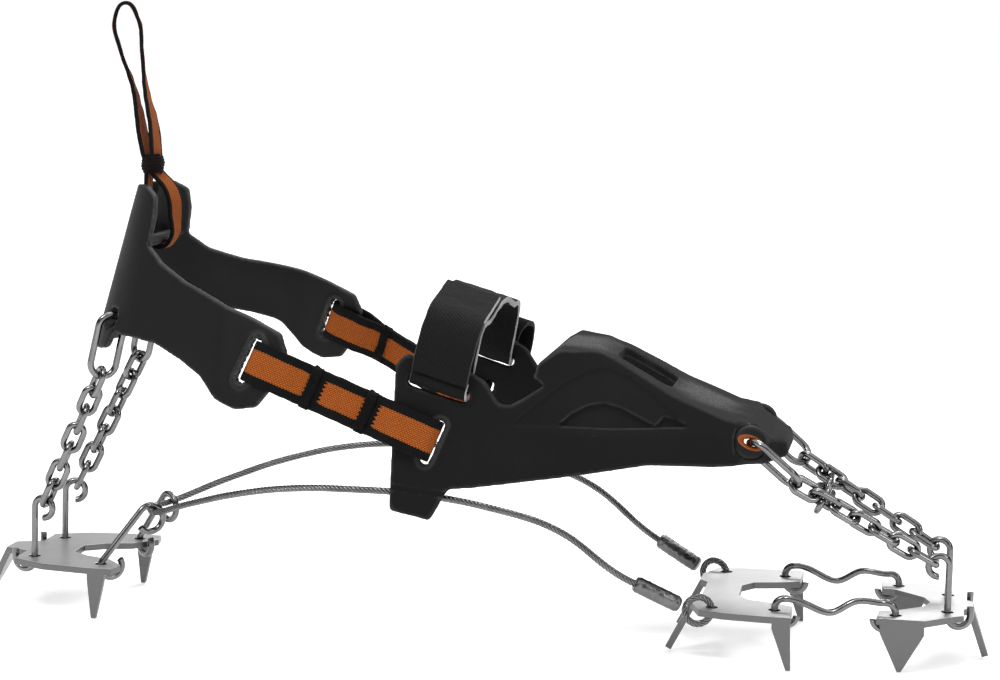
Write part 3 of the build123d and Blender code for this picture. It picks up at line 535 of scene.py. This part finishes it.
def thicken(piece, thickness):
    # gives a flat band its thickness and rounds its edges
    solid = piece.modifiers.new("bandThickness", "SOLIDIFY")
    solid.thickness, solid.offset = thickness * mm, 0.0
    bevel = piece.modifiers.new("softEdge", "BEVEL")
    bevel.width, bevel.segments = thickness * bandEdge["rounding"] * mm, bandEdge["segments"]
    bevel.limit_method, bevel.angle_limit = "ANGLE", math.radians(bandEdge["sharpDegrees"])


def nodeCopy(name):
    # welded copy of a frame node's surface
    build = bmesh.new()
    build.from_mesh(cadNodes[name].data)
    bmesh.ops.remove_doubles(build, verts=build.verts[:], dist=weldReach)
    return build


def farSide(build):
    # the same piece on the far side, its faces turned the right way round again
    other = build.copy()
    bmesh.ops.scale(other, verts=other.verts[:], vec=(1, -1, 1))
    bmesh.ops.reverse_faces(other, faces=other.faces[:])
    return other


farBend = {"shift": Vector((3.2, 0, 2.6)), "aside": (8.0, 24.0)}


def farFlex(place, start, end):
    # the far arm bends a little forward and up between two stations, the near one doesn't
    share = softStep(place.x / mm, start, end) if start < end else 1 - softStep(place.x / mm, end, start)
    return farBend["shift"] * mm * share * softStep(place.y / mm, *farBend["aside"])


def pair(name, build, material, body, replaced, after=None, flex=None):
    # near and far pieces from one build
    other = farSide(build)
    if flex:
        for v in other.verts:
            v.co += farFlex(v.co, *flex)
    for side, mesh in (("near", build), ("far", other)):
        piece = finishPiece(f"{name}_{side}", mesh, material, body, [f"{replaced}_{side}"])
        if after:
            after(piece)


def wireMesh(route, radius, closed=False):
    # round wire along a route, made from a bevelled curve
    curve = bpy.data.curves.new("wireGuide", "CURVE")
    curve.dimensions, curve.bevel_depth, curve.bevel_resolution = "3D", radius * mm, 1
    curve.use_fill_caps = not closed
    spline = curve.splines.new("POLY")
    spline.points.add(len(route) - 1)
    spline.use_cyclic_u = closed
    for point, place in zip(spline.points, route):
        point.co = (*place, 1)
    return meshFromCurve(curve)


def softStep(value, low, high):
    t = max(0.0, min(1.0, (value - low) / (high - low)))
    return t * t * (3 - 2 * t)


# moulded toe harness and heel cup

def insideOutline(outline, x, z):
    # signed distance in millimetres to a closed outline, negative inside it
    inside, near = False, 1e9
    for (ax, az), (bx, bz) in zip(outline, outline[1:] + outline[:1]):
        if (az > z) != (bz > z) and x < (bx - ax) * (z - az) / (bz - az) + ax:
            inside = not inside
        run = Vector((bx - ax, bz - az))
        share = max(0.0, min(1.0, ((x - ax) * run.x + (z - az) * run.y) / max(run.length_squared, 1e-9)))
        near = min(near, math.hypot(x - ax - run.x * share, z - az - run.y * share))
    return -near if inside else near


def slotOutline(centre, length, turn, width):
    # a slot's rounded outline in the side view
    points, steps = [], 10
    for end in (1, -1):
        for k in range(steps + 1):
            a = math.radians(-90 + 180 * k / steps)
            points.append((end * (length / 2 - width / 2 + width / 2 * math.cos(a)), end * width / 2 * math.sin(a)))
    c, s = math.cos(math.radians(turn)), math.sin(math.radians(turn))
    return [(centre[0] + x * c - z * s, centre[1] + x * s + z * c) for x, z in points]


skinRipple = ((40, 0.06), (160, 0.02))      # scale, and height in millimetres
reliefFacing = 0.25
smoothShare = 0.5


def mouldedPiece(name, reliefs, voxel, rounding, calmed=()):
    # remeshes the frame node so that its edges soften, then calms creases, raises rims and sinks recesses
    start = nodeCopy(name)
    mesh = bpy.data.meshes.new(name + "Blank")
    start.to_mesh(mesh)
    start.free()
    blank = bpy.data.objects.new(name + "Blank", mesh)
    bpy.context.scene.collection.objects.link(blank)
    skin = blank.modifiers.new("skin", "REMESH")
    skin.mode, skin.voxel_size, skin.adaptivity = "VOXEL", voxel * mm, 0.0
    relax = blank.modifiers.new("relax", "SMOOTH")
    relax.factor, relax.iterations = smoothShare, rounding
    bpy.context.view_layer.update()
    made = bpy.data.meshes.new_from_object(blank.evaluated_get(bpy.context.evaluated_depsgraph_get()))
    bpy.data.objects.remove(blank)
    bpy.data.meshes.remove(mesh)
    build = bmesh.new()
    takeIn(build, made)
    build.normal_update()
    for centre, half, facing, rounds in calmed:
        flat = [v for v in build.verts if abs(v.co.x / mm - centre) < half and abs(v.normal.y) > facing]
        for _ in range(rounds):
            bmesh.ops.smooth_vert(build, verts=flat, factor=smoothShare, use_axis_x=True, use_axis_y=True,
                                  use_axis_z=True)
    build.normal_update()
    moves = []
    for v in build.verts:
        x, z = v.co.x / mm, v.co.z / mm
        outward = v.normal.y * (1 if v.co.y > 0 else -1)
        shift = 0.0
        for outline, depth, edge, reach, facing in reliefs:
            if facing * outward < reliefFacing:
                continue
            low = min(p[0] for p in outline) - reach - edge, min(p[1] for p in outline) - reach - edge
            high = max(p[0] for p in outline) + reach + edge, max(p[1] for p in outline) + reach + edge
            if not (low[0] < x < high[0] and low[1] < z < high[1]):
                continue
            away = insideOutline(outline, x, z)
            shift += depth * (1 - softStep(away, reach - edge, reach + edge))
        if shift:
            moves.append((v, v.normal.copy() * shift * mm))
    for v, move in moves:
        v.co += move
    for v in build.verts:
        v.co += v.normal * sum(noise.noise(v.co * scale) * height for scale, height in skinRipple) * mm
    return build


# outlines in the side view, in millimetres; calmed is centre, half length, facing and rounds of smoothing
toeShape = {
    "voxel": 0.6, "rounding": 4, "calmed": ((92.0, 10.0, -1.0, 14), (-5.0, 9.0, -1.0, 5)),
    "archDepth": -0.55, "archEdge": 0.7, "lensDepth": -1.1, "lensEdge": 0.45, "creaseDepth": -0.5,
    "creaseEdge": 0.5, "rimLift": 0.6, "rimEdge": 0.5, "rimWidth": 1.6,
    "arch": [(17.5, 70.6), (24.0, 76.5), (31.0, 82.0), (37.0, 85.2), (43.0, 86.0), (50.0, 83.6), (58.0, 78.6),
             (65.5, 72.6), (68.0, 70.9), (50.0, 70.4), (33.0, 70.5)],
    "lens": [(31.0, 70.8), (34.0, 73.6), (38.5, 76.0), (43.0, 76.8), (48.0, 75.6), (54.0, 72.9), (58.5, 70.6),
             (45.0, 70.3)],
    "smallLens": [(59.0, 70.8), (61.2, 73.4), (64.0, 72.6), (67.2, 70.9)],
    "crease": [(-18.5, 51.6), (-1.0, 49.6), (-1.0, 48.6), (-18.5, 50.6)],
    "slot": ((-6.0, 64.5), 14.6, 68.6, 3.6),
}
# outline, depth, edge softness, reach beyond the outline, and 1 for the outer face or -1 for the inner one
toeReliefs = [(toeShape["arch"], toeShape["archDepth"], toeShape["archEdge"], 0.0, 1),
              (toeShape["lens"], toeShape["lensDepth"], toeShape["lensEdge"], 0.0, 1),
              (toeShape["smallLens"], toeShape["lensDepth"], toeShape["lensEdge"], 0.0, 1),
              (slotOutline(*toeShape["slot"]), toeShape["rimLift"], toeShape["rimEdge"], toeShape["rimWidth"], 1),
              (toeShape["crease"], toeShape["creaseDepth"], toeShape["creaseEdge"], 0.0, 1)]
toeBuild = mouldedPiece("toe_harness", toeReliefs, toeShape["voxel"], toeShape["rounding"], toeShape["calmed"])
finishPiece("toeHarness", toeBuild, toeSkin, "harness", ["toe_harness"])

cupShape = {"voxel": 0.6, "rounding": 4, "calmed": ((-74.0, 16.0, 0.8, 60),), "slot": ((-61.5, 86.3), 14.6, 68.6, 3.6),
            "rimLift": 0.75, "rimEdge": 0.5, "rimWidth": 1.9, "innerLift": 0.45, "innerWidth": 1.6,
            "flex": (-100.0, -70.0), "farFrom": 8.0, "farFull": 20.0, "farWaist": 4.5, "waistStart": (-102.0, -90.0),
            "waistEnd": (-80.0, -68.0), "liftBand": (0.1, 0.9), "rowStep": 2.0, "emptyRow": (0.06, 0.1)}
cupSlot = slotOutline(*cupShape["slot"])
cupReliefs = [(cupSlot, cupShape["rimLift"], cupShape["rimEdge"], cupShape["rimWidth"], 1),
              (cupSlot, cupShape["innerLift"], cupShape["rimEdge"], cupShape["innerWidth"], -1)]
heelCupBuild = mouldedPiece("heel_cup", cupReliefs, cupShape["voxel"], cupShape["rounding"], cupShape["calmed"])
farVerts = [v for v in heelCupBuild.verts if v.co.y > cupShape["farFrom"] * mm]
rowEdges = {}      # lowest and highest point of the far arm, row by row along the boot
for v in farVerts:
    row = math.floor(v.co.x / mm / cupShape["rowStep"])
    low, high = rowEdges.get(row, (9.0, -9.0))
    rowEdges[row] = (min(low, v.co.z), max(high, v.co.z))
for v in farVerts:
    # the far arm's lower edge rises at its waist
    station = v.co.x / mm / cupShape["rowStep"] - 0.5
    before, share = math.floor(station), station - math.floor(station)
    (low, high), (nextLow, nextHigh) = (rowEdges.get(row, cupShape["emptyRow"]) for row in (before, before + 1))
    low, high = low + (nextLow - low) * share, high + (nextHigh - high) * share
    lowness = min(1.0, max(0.0, 1 - (v.co.z - low) / max(high - low, 1e-6)))
    waist = softStep(v.co.x / mm, *cupShape["waistStart"]) * (1 - softStep(v.co.x / mm, *cupShape["waistEnd"]))
    aside = softStep(v.co.y / mm, cupShape["farFrom"], cupShape["farFull"])
    lift = softStep(lowness, *cupShape["liftBand"]) * waist * aside
    v.co.z += cupShape["farWaist"] * mm * lift
for v in heelCupBuild.verts:
    v.co += farFlex(v.co, *cupShape["flex"])
finishPiece("heelCup", heelCupBuild, mouldedSkin, "harness", ["heel_cup"])
print("moulded pieces ready")


# side straps: one closed band through both slots, sewn at two bars

sideStrap = {"width": 12.7, "thickness": 1.5, "start": (-61.5, -45.89, 86.3), "run": (0.929793, 0.045851, -0.365216),
             "up": (0.347189, 0.220291, 0.911555), "length": 59.69, "sewnAt": (19.9, 37.8), "sewnLength": 4.2,
             "seamOffset": 1.6, "waist": 0.05, "waistStart": 3.0, "waistLength": 55.0, "flex": (-12.0, -56.0),
             "spacing": 0.6, "columns": 16, "ripple": 0.12}
strapStart, strapRun, strapUp = (Vector(sideStrap[label]) for label in ("start", "run", "up"))
strapIn = strapUp.cross(strapRun)
strapEnd = sideStrap["length"]
# half the gap between the band's two layers, by distance from the rear slot
strapHalf = [(0.35, 1.6), (1.9, 2.9), (6.0, 3.1), (11.5, 2.9), (15.5, 1.5), (18.5, 0.85), (29.0, 0.82),
             (strapEnd - 20.5, 0.85), (strapEnd - 17.0, 1.7), (strapEnd - 12.5, 3.6), (strapEnd - 7.0, 4.0),
             (strapEnd - 2.2, 3.8), (strapEnd - 0.35, 2.0)]
strapLoop = [(s, -h) for s, h in strapHalf] + [(s, h) for s, h in reversed(strapHalf)]
strapRoute = routeOf([strapStart + strapRun * s + strapIn * h for s, h in strapLoop], closed=True,
                     spacing=sideStrap["spacing"])
sewn = [(c - sideStrap["sewnLength"] / 2 + sideStrap["seamOffset"],
         c + sideStrap["sewnLength"] / 2 + sideStrap["seamOffset"]) for c in sideStrap["sewnAt"]]


def pinchAtBars(travelled):
    # the weave pulls in a little between the slots
    share = min(1.0, max(0.0, (travelled - sideStrap["waistStart"]) / sideStrap["waistLength"]))
    return 1.0 - sideStrap["waist"] * math.sin(math.pi * share) ** 2


sideWebbing = makeWebbing("sideStrapWebbing", (0.40, 0.098, 0.014), (0.035, 0.007, 0.0015),
                          halfWidth=sideStrap["width"] / 2, edgeWidth=2.55, bars=sewn, threadMm=0.56, stitchMm=0.9)
strapBuild = weaveBand(strapRoute, strapUp, sideStrap["width"], closed=True, columns=sideStrap["columns"],
                       ripple=sideStrap["ripple"], flare=pinchAtBars)
pair("sideStrap", strapBuild, sideWebbing, "harness", "side_strap",
     after=lambda piece: thicken(piece, sideStrap["thickness"]), flex=sideStrap["flex"])

sewnBar = {"length": 3.0, "layer": 0.5, "overhang": 0.1, "halfThickness": 1.65, "swell": 0.15, "corner": 1.0,
           "spacing": 0.5, "columns": 6, "ripple": 0.5}
barStitch = makeWebbing("barStitching", (0.003, 0.003, 0.0033), (0.001, 0.001, 0.001), threadMm=0.5, stitchMm=4.0,
                        shift=0.0, lift=0.0004)
halfW, halfT = sideStrap["width"] / 2 + sewnBar["overhang"], sewnBar["halfThickness"]
cornerW, middleT = halfW - sewnBar["corner"], halfT + sewnBar["swell"]
barRing = [(-cornerW, -halfT), (0, -middleT), (cornerW, -halfT), (halfW, 0), (cornerW, halfT), (0, middleT),
           (-cornerW, halfT), (-halfW, 0)]
barBuild = bmesh.new()
for centre in sideStrap["sewnAt"]:
    middle = strapStart + strapRun * centre
    ringRoute = routeOf([middle + strapUp * u + strapIn * h for u, h in barRing], closed=True,
                        spacing=sewnBar["spacing"])
    part = weaveBand(ringRoute, strapRun, sewnBar["length"], closed=True, columns=sewnBar["columns"],
                     ripple=sewnBar["ripple"])
    partMesh = bpy.data.meshes.new("barPart")
    part.to_mesh(partMesh)
    part.free()
    takeIn(barBuild, partMesh)
pair("strapBars", barBuild, barStitch, "harness", "strap_bars",
     after=lambda piece: thicken(piece, sewnBar["layer"]), flex=sideStrap["flex"])
print("side straps ready")


# instep strap and its free end

instepStrap = {"width": 17.5, "thickness": 1.7, "origin": (-5.0, 0.0, 80.4), "tilt": 16.0, "lean": 9.5,
               "wallGap": 8.2, "crown": 24.9, "clearance": 0.9, "columns": 18, "ripple": 0.14}
tilt, lean = math.radians(instepStrap["tilt"]), math.radians(instepStrap["lean"])
strapLean = Vector((math.sin(lean), 0, math.cos(lean)))
strapAcross = Vector((math.cos(tilt), 0, -math.sin(tilt)))


def instepPlace(y, v, aside=0.0):
    return Vector(instepStrap["origin"]) + Vector((0, y, 0)) + strapLean * v + strapAcross * aside


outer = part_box("instep_strap")[1][1] / mm - instepStrap["clearance"]      # middle of the layer outside the wall
inner, crown = outer - instepStrap["wallGap"], instepStrap["crown"]
# sideways and height over the slots, from the folded far end to the near slot; the fold also sits a little forward
archPlaces = [(outer + 2.6, 3.0, 4.6), (outer + 2.9, 8.0, 4.6), (outer + 2.2, 12.0, 4.2), (outer + 0.4, 13.2, 3.0),
              (outer - 0.6, 10.8, 1.2), (outer - 0.2, 6.0), (outer - 0.2, 1.2), (outer - 1.6, 0.0), (inner + 1.6, 0.0),
              (inner + 0.1, 1.4), (inner - 0.4, 8.0), (inner - 2.6, 19.0), (22.0, crown - 3.8), (0.0, crown),
              (-22.0, crown - 3.8), (-inner + 2.6, 19.0), (-inner + 0.4, 8.0), (-inner - 0.1, 1.4),
              (-inner - 1.6, 0.0), (-outer + 1.7, 0.0), (-outer + 0.6, 1.2), (-outer + 1.2, 2.6), (-outer + 1.8, 4.2)]
tailPlaces = [(-outer, 3.2), (-outer + 0.6, 9.0), (-inner - 0.6, 19.5), (-23.6, crown - 0.9), (-12.0, crown + 1.9)]
blackTwill = makeWebbing("blackTwill", (0.0075, 0.0075, 0.008), (0.0015, 0.0015, 0.0015),
                         halfWidth=instepStrap["width"] / 2, edge=(0.02, 0.02, 0.02), edgeWidth=0.3, threadMm=0.45,
                         stitchMm=1.35, shift=0.27, rough=0.7, lift=0.00022, jagMm=0.0, binding=(0.32, 0.32, 0.32),
                         bindingFrom=22.0)
for name, places, body, replaced in (("instepStrap", archPlaces, "harness", "instep_strap"),
                                     ("instepTail", tailPlaces, "strap_tail", "instep_tail")):
    build = weaveBand(routeOf([instepPlace(*place) for place in places]), strapAcross, instepStrap["width"],
                      columns=instepStrap["columns"], ripple=instepStrap["ripple"])
    thicken(finishPiece(name, build, blackTwill, body, [replaced]), instepStrap["thickness"])
print("instep strap ready")


# pull loop, its anchor through the heel tab and the wound keeper

pullLoop = {"width": 6.8, "thickness": 1.15, "knot": (-106.2, 0.0, 140.6), "topTurn": -17.0, "footTurn": 12.0,
            "anchorTurn": 24.0, "footBand": (0.35, 0.95), "anchorBand": (0.2, 0.5), "bar": (-103.2, 117.6),
            "columns": 8, "spacing": 0.6}
knot = Vector(pullLoop["knot"])
barX, barZ = pullLoop["bar"]
loopWebbing = makeWebbing("pullLoopWebbing", (0.36, 0.092, 0.017), (0.04, 0.009, 0.002),
                          halfWidth=pullLoop["width"] / 2, edgeWidth=0.95, threadMm=0.6, stitchMm=0.95)
loopPlaces = [(-107.4, 141.2), (-109.4, 149.0), (-112.8, 164.6), (-117.2, 176.0), (-119.0, 186.0), (-115.6, 190.6),
              (-111.4, 185.4), (-110.2, 176.0), (-108.9, 165.0), (-106.0, 152.0), (-105.0, 141.2)]
anchorPlaces = [(knot.x + 1.0, knot.z - 2.2), (barX + 3.4, barZ + 14.5), (barX + 4.6, barZ + 7.0),
                (barX + 3.9, barZ - 0.4), (barX, barZ - 3.1), (barX - 3.7, barZ), (barX - 3.0, barZ + 7.0),
                (barX - 4.2, barZ + 13.0), (knot.x - 1.3, knot.z - 2.2)]


def turnedSide(degrees):
    return Vector((math.sin(math.radians(degrees)), math.cos(math.radians(degrees)), 0))


def loopTwist(share):
    foot = softStep(abs(share - 0.5) * 2, *pullLoop["footBand"])
    return turnedSide(pullLoop["topTurn"] * (1 - foot) + pullLoop["footTurn"] * foot)


def anchorTwist(share):
    return turnedSide(pullLoop["anchorTurn"] * (1 - softStep(share, *pullLoop["anchorBand"])))


for name, places, twist, ripple, body, replaced in (
        ("pullLoop", loopPlaces, loopTwist, 0.15, "pull_loop", "pull_loop"),
        ("loopAnchor", anchorPlaces, anchorTwist, 0.1, "harness", "loop_anchor")):
    build = weaveBand(routeOf([(x, 0, z) for x, z in places], spacing=pullLoop["spacing"]), twist,
                      pullLoop["width"], columns=pullLoop["columns"], ripple=ripple)
    thicken(finishPiece(name, build, loopWebbing, body, [replaced]), pullLoop["thickness"])

keeper = {"points": 150, "turns": 7, "wide": 3.1, "wideSpread": 0.15, "deep": 4.0, "deepSpread": 0.2, "height": 5.8,
          "foot": -2.9, "barrel": 4.2, "leastSwell": 0.2, "thread": 0.62, "core": (0.0029, 0.0038, 0.0031), "seed": 11}
random.seed(keeper["seed"])
windings = []
for k in range(keeper["points"]):
    turn = k / keeper["points"] * math.tau * keeper["turns"]
    wide = keeper["wide"] + random.uniform(-keeper["wideSpread"], keeper["wideSpread"])
    deep = keeper["deep"] + random.uniform(-keeper["deepSpread"], keeper["deepSpread"])
    rise = keeper["foot"] + keeper["height"] * k / keeper["points"]
    swell = math.sqrt(max(keeper["leastSwell"], 1 - (rise / keeper["barrel"]) ** 2))
    windings.append((knot + Vector((math.cos(turn) * wide * swell, math.sin(turn) * deep * swell, rise))) * mm)
threadStitch = makeWebbing("keeperThread", (0.016, 0.007, 0.005), (0.004, 0.002, 0.002), threadMm=0.4, stitchMm=0.6)
keeperBuild = bmesh.new()
takeIn(keeperBuild, wireMesh(windings, keeper["thread"]))
bmesh.ops.create_uvsphere(keeperBuild, u_segments=24, v_segments=14, radius=1.0,
                          matrix=Matrix.Translation(knot * mm) @ Matrix.Diagonal((*keeper["core"], 1)))
finishPiece("loopKeeper", keeperBuild, threadStitch, "pull_loop", ["loop_keeper"])
print("pull loop ready")


# steel cable laid from strands, its end eyes and crimped ferrules

cableShape = {"strands": 6, "strandRadius": 0.37, "layRadius": 0.72, "layLength": 8.0, "coreRadius": 0.5,
              "spacing": 0.7}
nearRun = [(58.4, -32.13, 21.4), (50.24, -34.83, 25.61), (31, -38.6, 39.2), (12, -41.2, 45.0), (-11.5, -42.6, 48.3),
           (-32, -42.6, 48.6), (-50, -39.4, 47.2), (-68, -33.2, 43.4), (-86, -22.9, 37.4), (-101.67, -9.38, 31.2)]
cableRoute = routeOf(nearRun + [(-105.07, 0, 31.0)] + [(x, -y, z) for x, y, z in reversed(nearRun)],
                     spacing=cableShape["spacing"])


def laidStrands(route, closed=False):
    # strands wound round a route, with a thin core so that no light passes
    build = bmesh.new()
    count = len(route)
    whole = sum((b - a).length for a, b in zip(route, route[1:])) / mm
    turns = round(whole / cableShape["layLength"])
    for strand in range(cableShape["strands"]):
        line, normal = [], None
        for i, place in enumerate(route):
            ahead = route[(i + 1) % count] if closed or i < count - 1 else route[i]
            behind = route[i - 1] if closed or i else route[i]
            along = (ahead - behind).normalized()
            normal = along.orthogonal() if normal is None else normal - along * normal.dot(along)
            normal.normalize()
            spin = math.tau * (strand / cableShape["strands"] + turns * i / (count if closed else count - 1))
            outward = normal * math.cos(spin) + along.cross(normal) * math.sin(spin)
            line.append(place + outward * cableShape["layRadius"] * mm)
        takeIn(build, wireMesh(line, cableShape["strandRadius"], closed))
    takeIn(build, wireMesh(route, cableShape["coreRadius"], closed))
    return build


finishPiece("steelCable", laidStrands(cableRoute), cableSteel, "harness", ["cable"])
cableEye = {"hole": Vector((77.0, -26.0, 15.0)), "inward": Vector((-0.949629, -0.313377, 0)), "radius": 4.1,
            "points": 44}
eyeRoute = []
for k in range(cableEye["points"]):
    a = math.tau * k / cableEye["points"]
    spoke = cableEye["inward"] * (1 + math.cos(a)) + Vector((0, 0, 1)) * math.sin(a)
    eyeRoute.append((cableEye["hole"] + spoke * cableEye["radius"]) * mm)
pair("cableEye", laidStrands(eyeRoute, closed=True), cableSteel, "harness", "cable_eye")

ferruleShape = {"low": (67.4, -29.17, 16.79), "direction": (-0.853521, -0.281662, 0.438371), "length": 15.0,
                "radius": 2.45, "around": 36, "cuts": 34, "biteDepth": 0.16, "bites": 5, "endRoll": 0.16,
                "rollFrom": 0.44, "pitDepth": 0.09, "pitScale": Vector((4, 4, 22))}
ferruleBuild = bmesh.new()
bmesh.ops.create_cone(ferruleBuild, cap_ends=True, segments=ferruleShape["around"], radius1=1, radius2=1, depth=1)
walls = [e for e in ferruleBuild.edges if abs(e.verts[0].co.z - e.verts[1].co.z) > 0.5]
bmesh.ops.subdivide_edges(ferruleBuild, edges=walls, cuts=ferruleShape["cuts"])
for v in ferruleBuild.verts:
    # crimped waists, rolled ends and small pits
    along, around = v.co.z + 0.5, math.atan2(v.co.y, v.co.x)
    waist = max(0.0, math.sin(along * math.pi * ferruleShape["bites"])) ** 4
    bite = ferruleShape["biteDepth"] * waist * (0.5 + 0.5 * math.cos(around * 2))
    roll = ferruleShape["endRoll"] * softStep(abs(along - 0.5), ferruleShape["rollFrom"], 0.5)
    pits = ferruleShape["pitDepth"] * noise.noise(Vector((v.co.x, v.co.y, along)) * ferruleShape["pitScale"])
    size = ferruleShape["radius"] * (1.0 - bite - roll + pits) if math.hypot(v.co.x, v.co.y) > 0.1 else 0.0
    v.co = Vector((math.cos(around) * size, math.sin(around) * size, along * ferruleShape["length"])) * mm
ferruleTurn = Vector(ferruleShape["direction"]).to_track_quat("Z", "Y").to_matrix().to_4x4()
ferruleBuild.transform(Matrix.Translation(Vector(ferruleShape["low"]) * mm) @ ferruleTurn)
pair("ferrule", ferruleBuild, crimpSteel, "harness", "ferrule")
print("cable ready")


# rubber eyelets, spun from a rounded section, their opening flattened and tilted

eyelet = {"place": (86.4, -23.5292, 66.2), "axis": (0.240772, -0.963087, 0.120386), "middle": 3.6, "wide": 1.55,
          "tall": 1.6, "flange": 4.4, "flangeStep": 0.25, "squash": 0.5, "tiltDegrees": -20.0, "around": 48,
          "section": 28}
eyeletBuild = bmesh.new()
bmesh.ops.create_circle(eyeletBuild, segments=eyelet["section"], radius=1.0)
for v in eyeletBuild.verts:
    v.co = Vector((eyelet["middle"] + v.co.x * eyelet["wide"], 0, v.co.y * eyelet["tall"])) * mm
bmesh.ops.spin(eyeletBuild, geom=eyeletBuild.verts[:] + eyeletBuild.edges[:], cent=(0, 0, 0), axis=(0, 0, 1),
               angle=math.tau, steps=eyelet["around"], use_merge=True)
bmesh.ops.recalc_face_normals(eyeletBuild, faces=eyeletBuild.faces[:])
for face in eyeletBuild.faces:
    # orange inside, dark flange outside
    face.material_index = int(face.calc_center_median().xy.length > eyelet["flange"] * mm)
outerEdge = eyelet["middle"] + eyelet["wide"]
for v in eyeletBuild.verts:
    roundness = softStep(v.co.xy.length / mm, eyelet["flange"] + eyelet["flangeStep"], outerEdge)
    v.co.y *= eyelet["squash"] + (1 - eyelet["squash"]) * roundness
eyeletTurn = Vector(eyelet["axis"]).to_track_quat("Z", "Y").to_matrix().to_4x4()
eyeletTilt = Matrix.Rotation(math.radians(eyelet["tiltDegrees"]), 4, "Z")
eyeletBuild.transform(Matrix.Translation(Vector(eyelet["place"]) * mm) @ eyeletTurn @ eyeletTilt)
pair("eyelet", eyeletBuild, orangeRim, "harness", "grommet",
     after=lambda piece: piece.data.materials.append(mouldedSkin))
print("eyelets ready")


# steel plates with softened edges

plateEdge = {"width": 0.28, "segments": 2, "sharpDegrees": 30.0, "flatDegrees": 1.0}
for nodeName, bodyName, label in (("heel_plate", "heel", "heelPlate"), ("forefoot_plate", "forefoot", "forefootPlate"),
                                  ("toe_plate", "toe", "toePlate")):
    build = nodeCopy(nodeName)
    bmesh.ops.dissolve_limit(build, angle_limit=math.radians(plateEdge["flatDegrees"]), verts=build.verts[:],
                             edges=build.edges[:])
    sharpAngle = math.radians(plateEdge["sharpDegrees"])
    sharp = [e for e in build.edges if len(e.link_faces) == 2 and e.calc_face_angle(0) > sharpAngle]
    bmesh.ops.bevel(build, geom=sharp, offset=plateEdge["width"] * mm, offset_type="OFFSET",
                    segments=plateEdge["segments"], profile=0.5, affect="EDGES", clamp_overlap=True, material=-1)
    bmesh.ops.triangulate(build, faces=[f for f in build.faces if len(f.verts) > 4])
    finishPiece(label, build, plateSteel, bodyName, [nodeName], smooth=False)
print("plates ready")


# floor

floorLook = {"size": 6.0, "height": -0.0004, "tone": 0.95, "glow": 0.3, "roughness": 0.9}
floorMesh = bpy.data.meshes.new("studioFloor")
floorBuild = bmesh.new()
bmesh.ops.create_grid(floorBuild, x_segments=1, y_segments=1, size=floorLook["size"])
bmesh.ops.translate(floorBuild, verts=floorBuild.verts[:], vec=(0, 0, floorLook["height"]))
floorBuild.to_mesh(floorMesh)
floorBuild.free()
floor = bpy.data.objects.new("studioFloor", floorMesh)
bpy.context.scene.collection.objects.link(floor)
floorPaint, floorTree, floorShader = newMaterial("paleFloor")
for label, value in (("Base Color", grey(floorLook["tone"])), ("Emission Color", grey(1.0)),
                     ("Emission Strength", floorLook["glow"]), ("Roughness", floorLook["roughness"])):
    floorShader.inputs[label].default_value = value
floorMesh.materials.append(floorPaint)

print("scene ready")
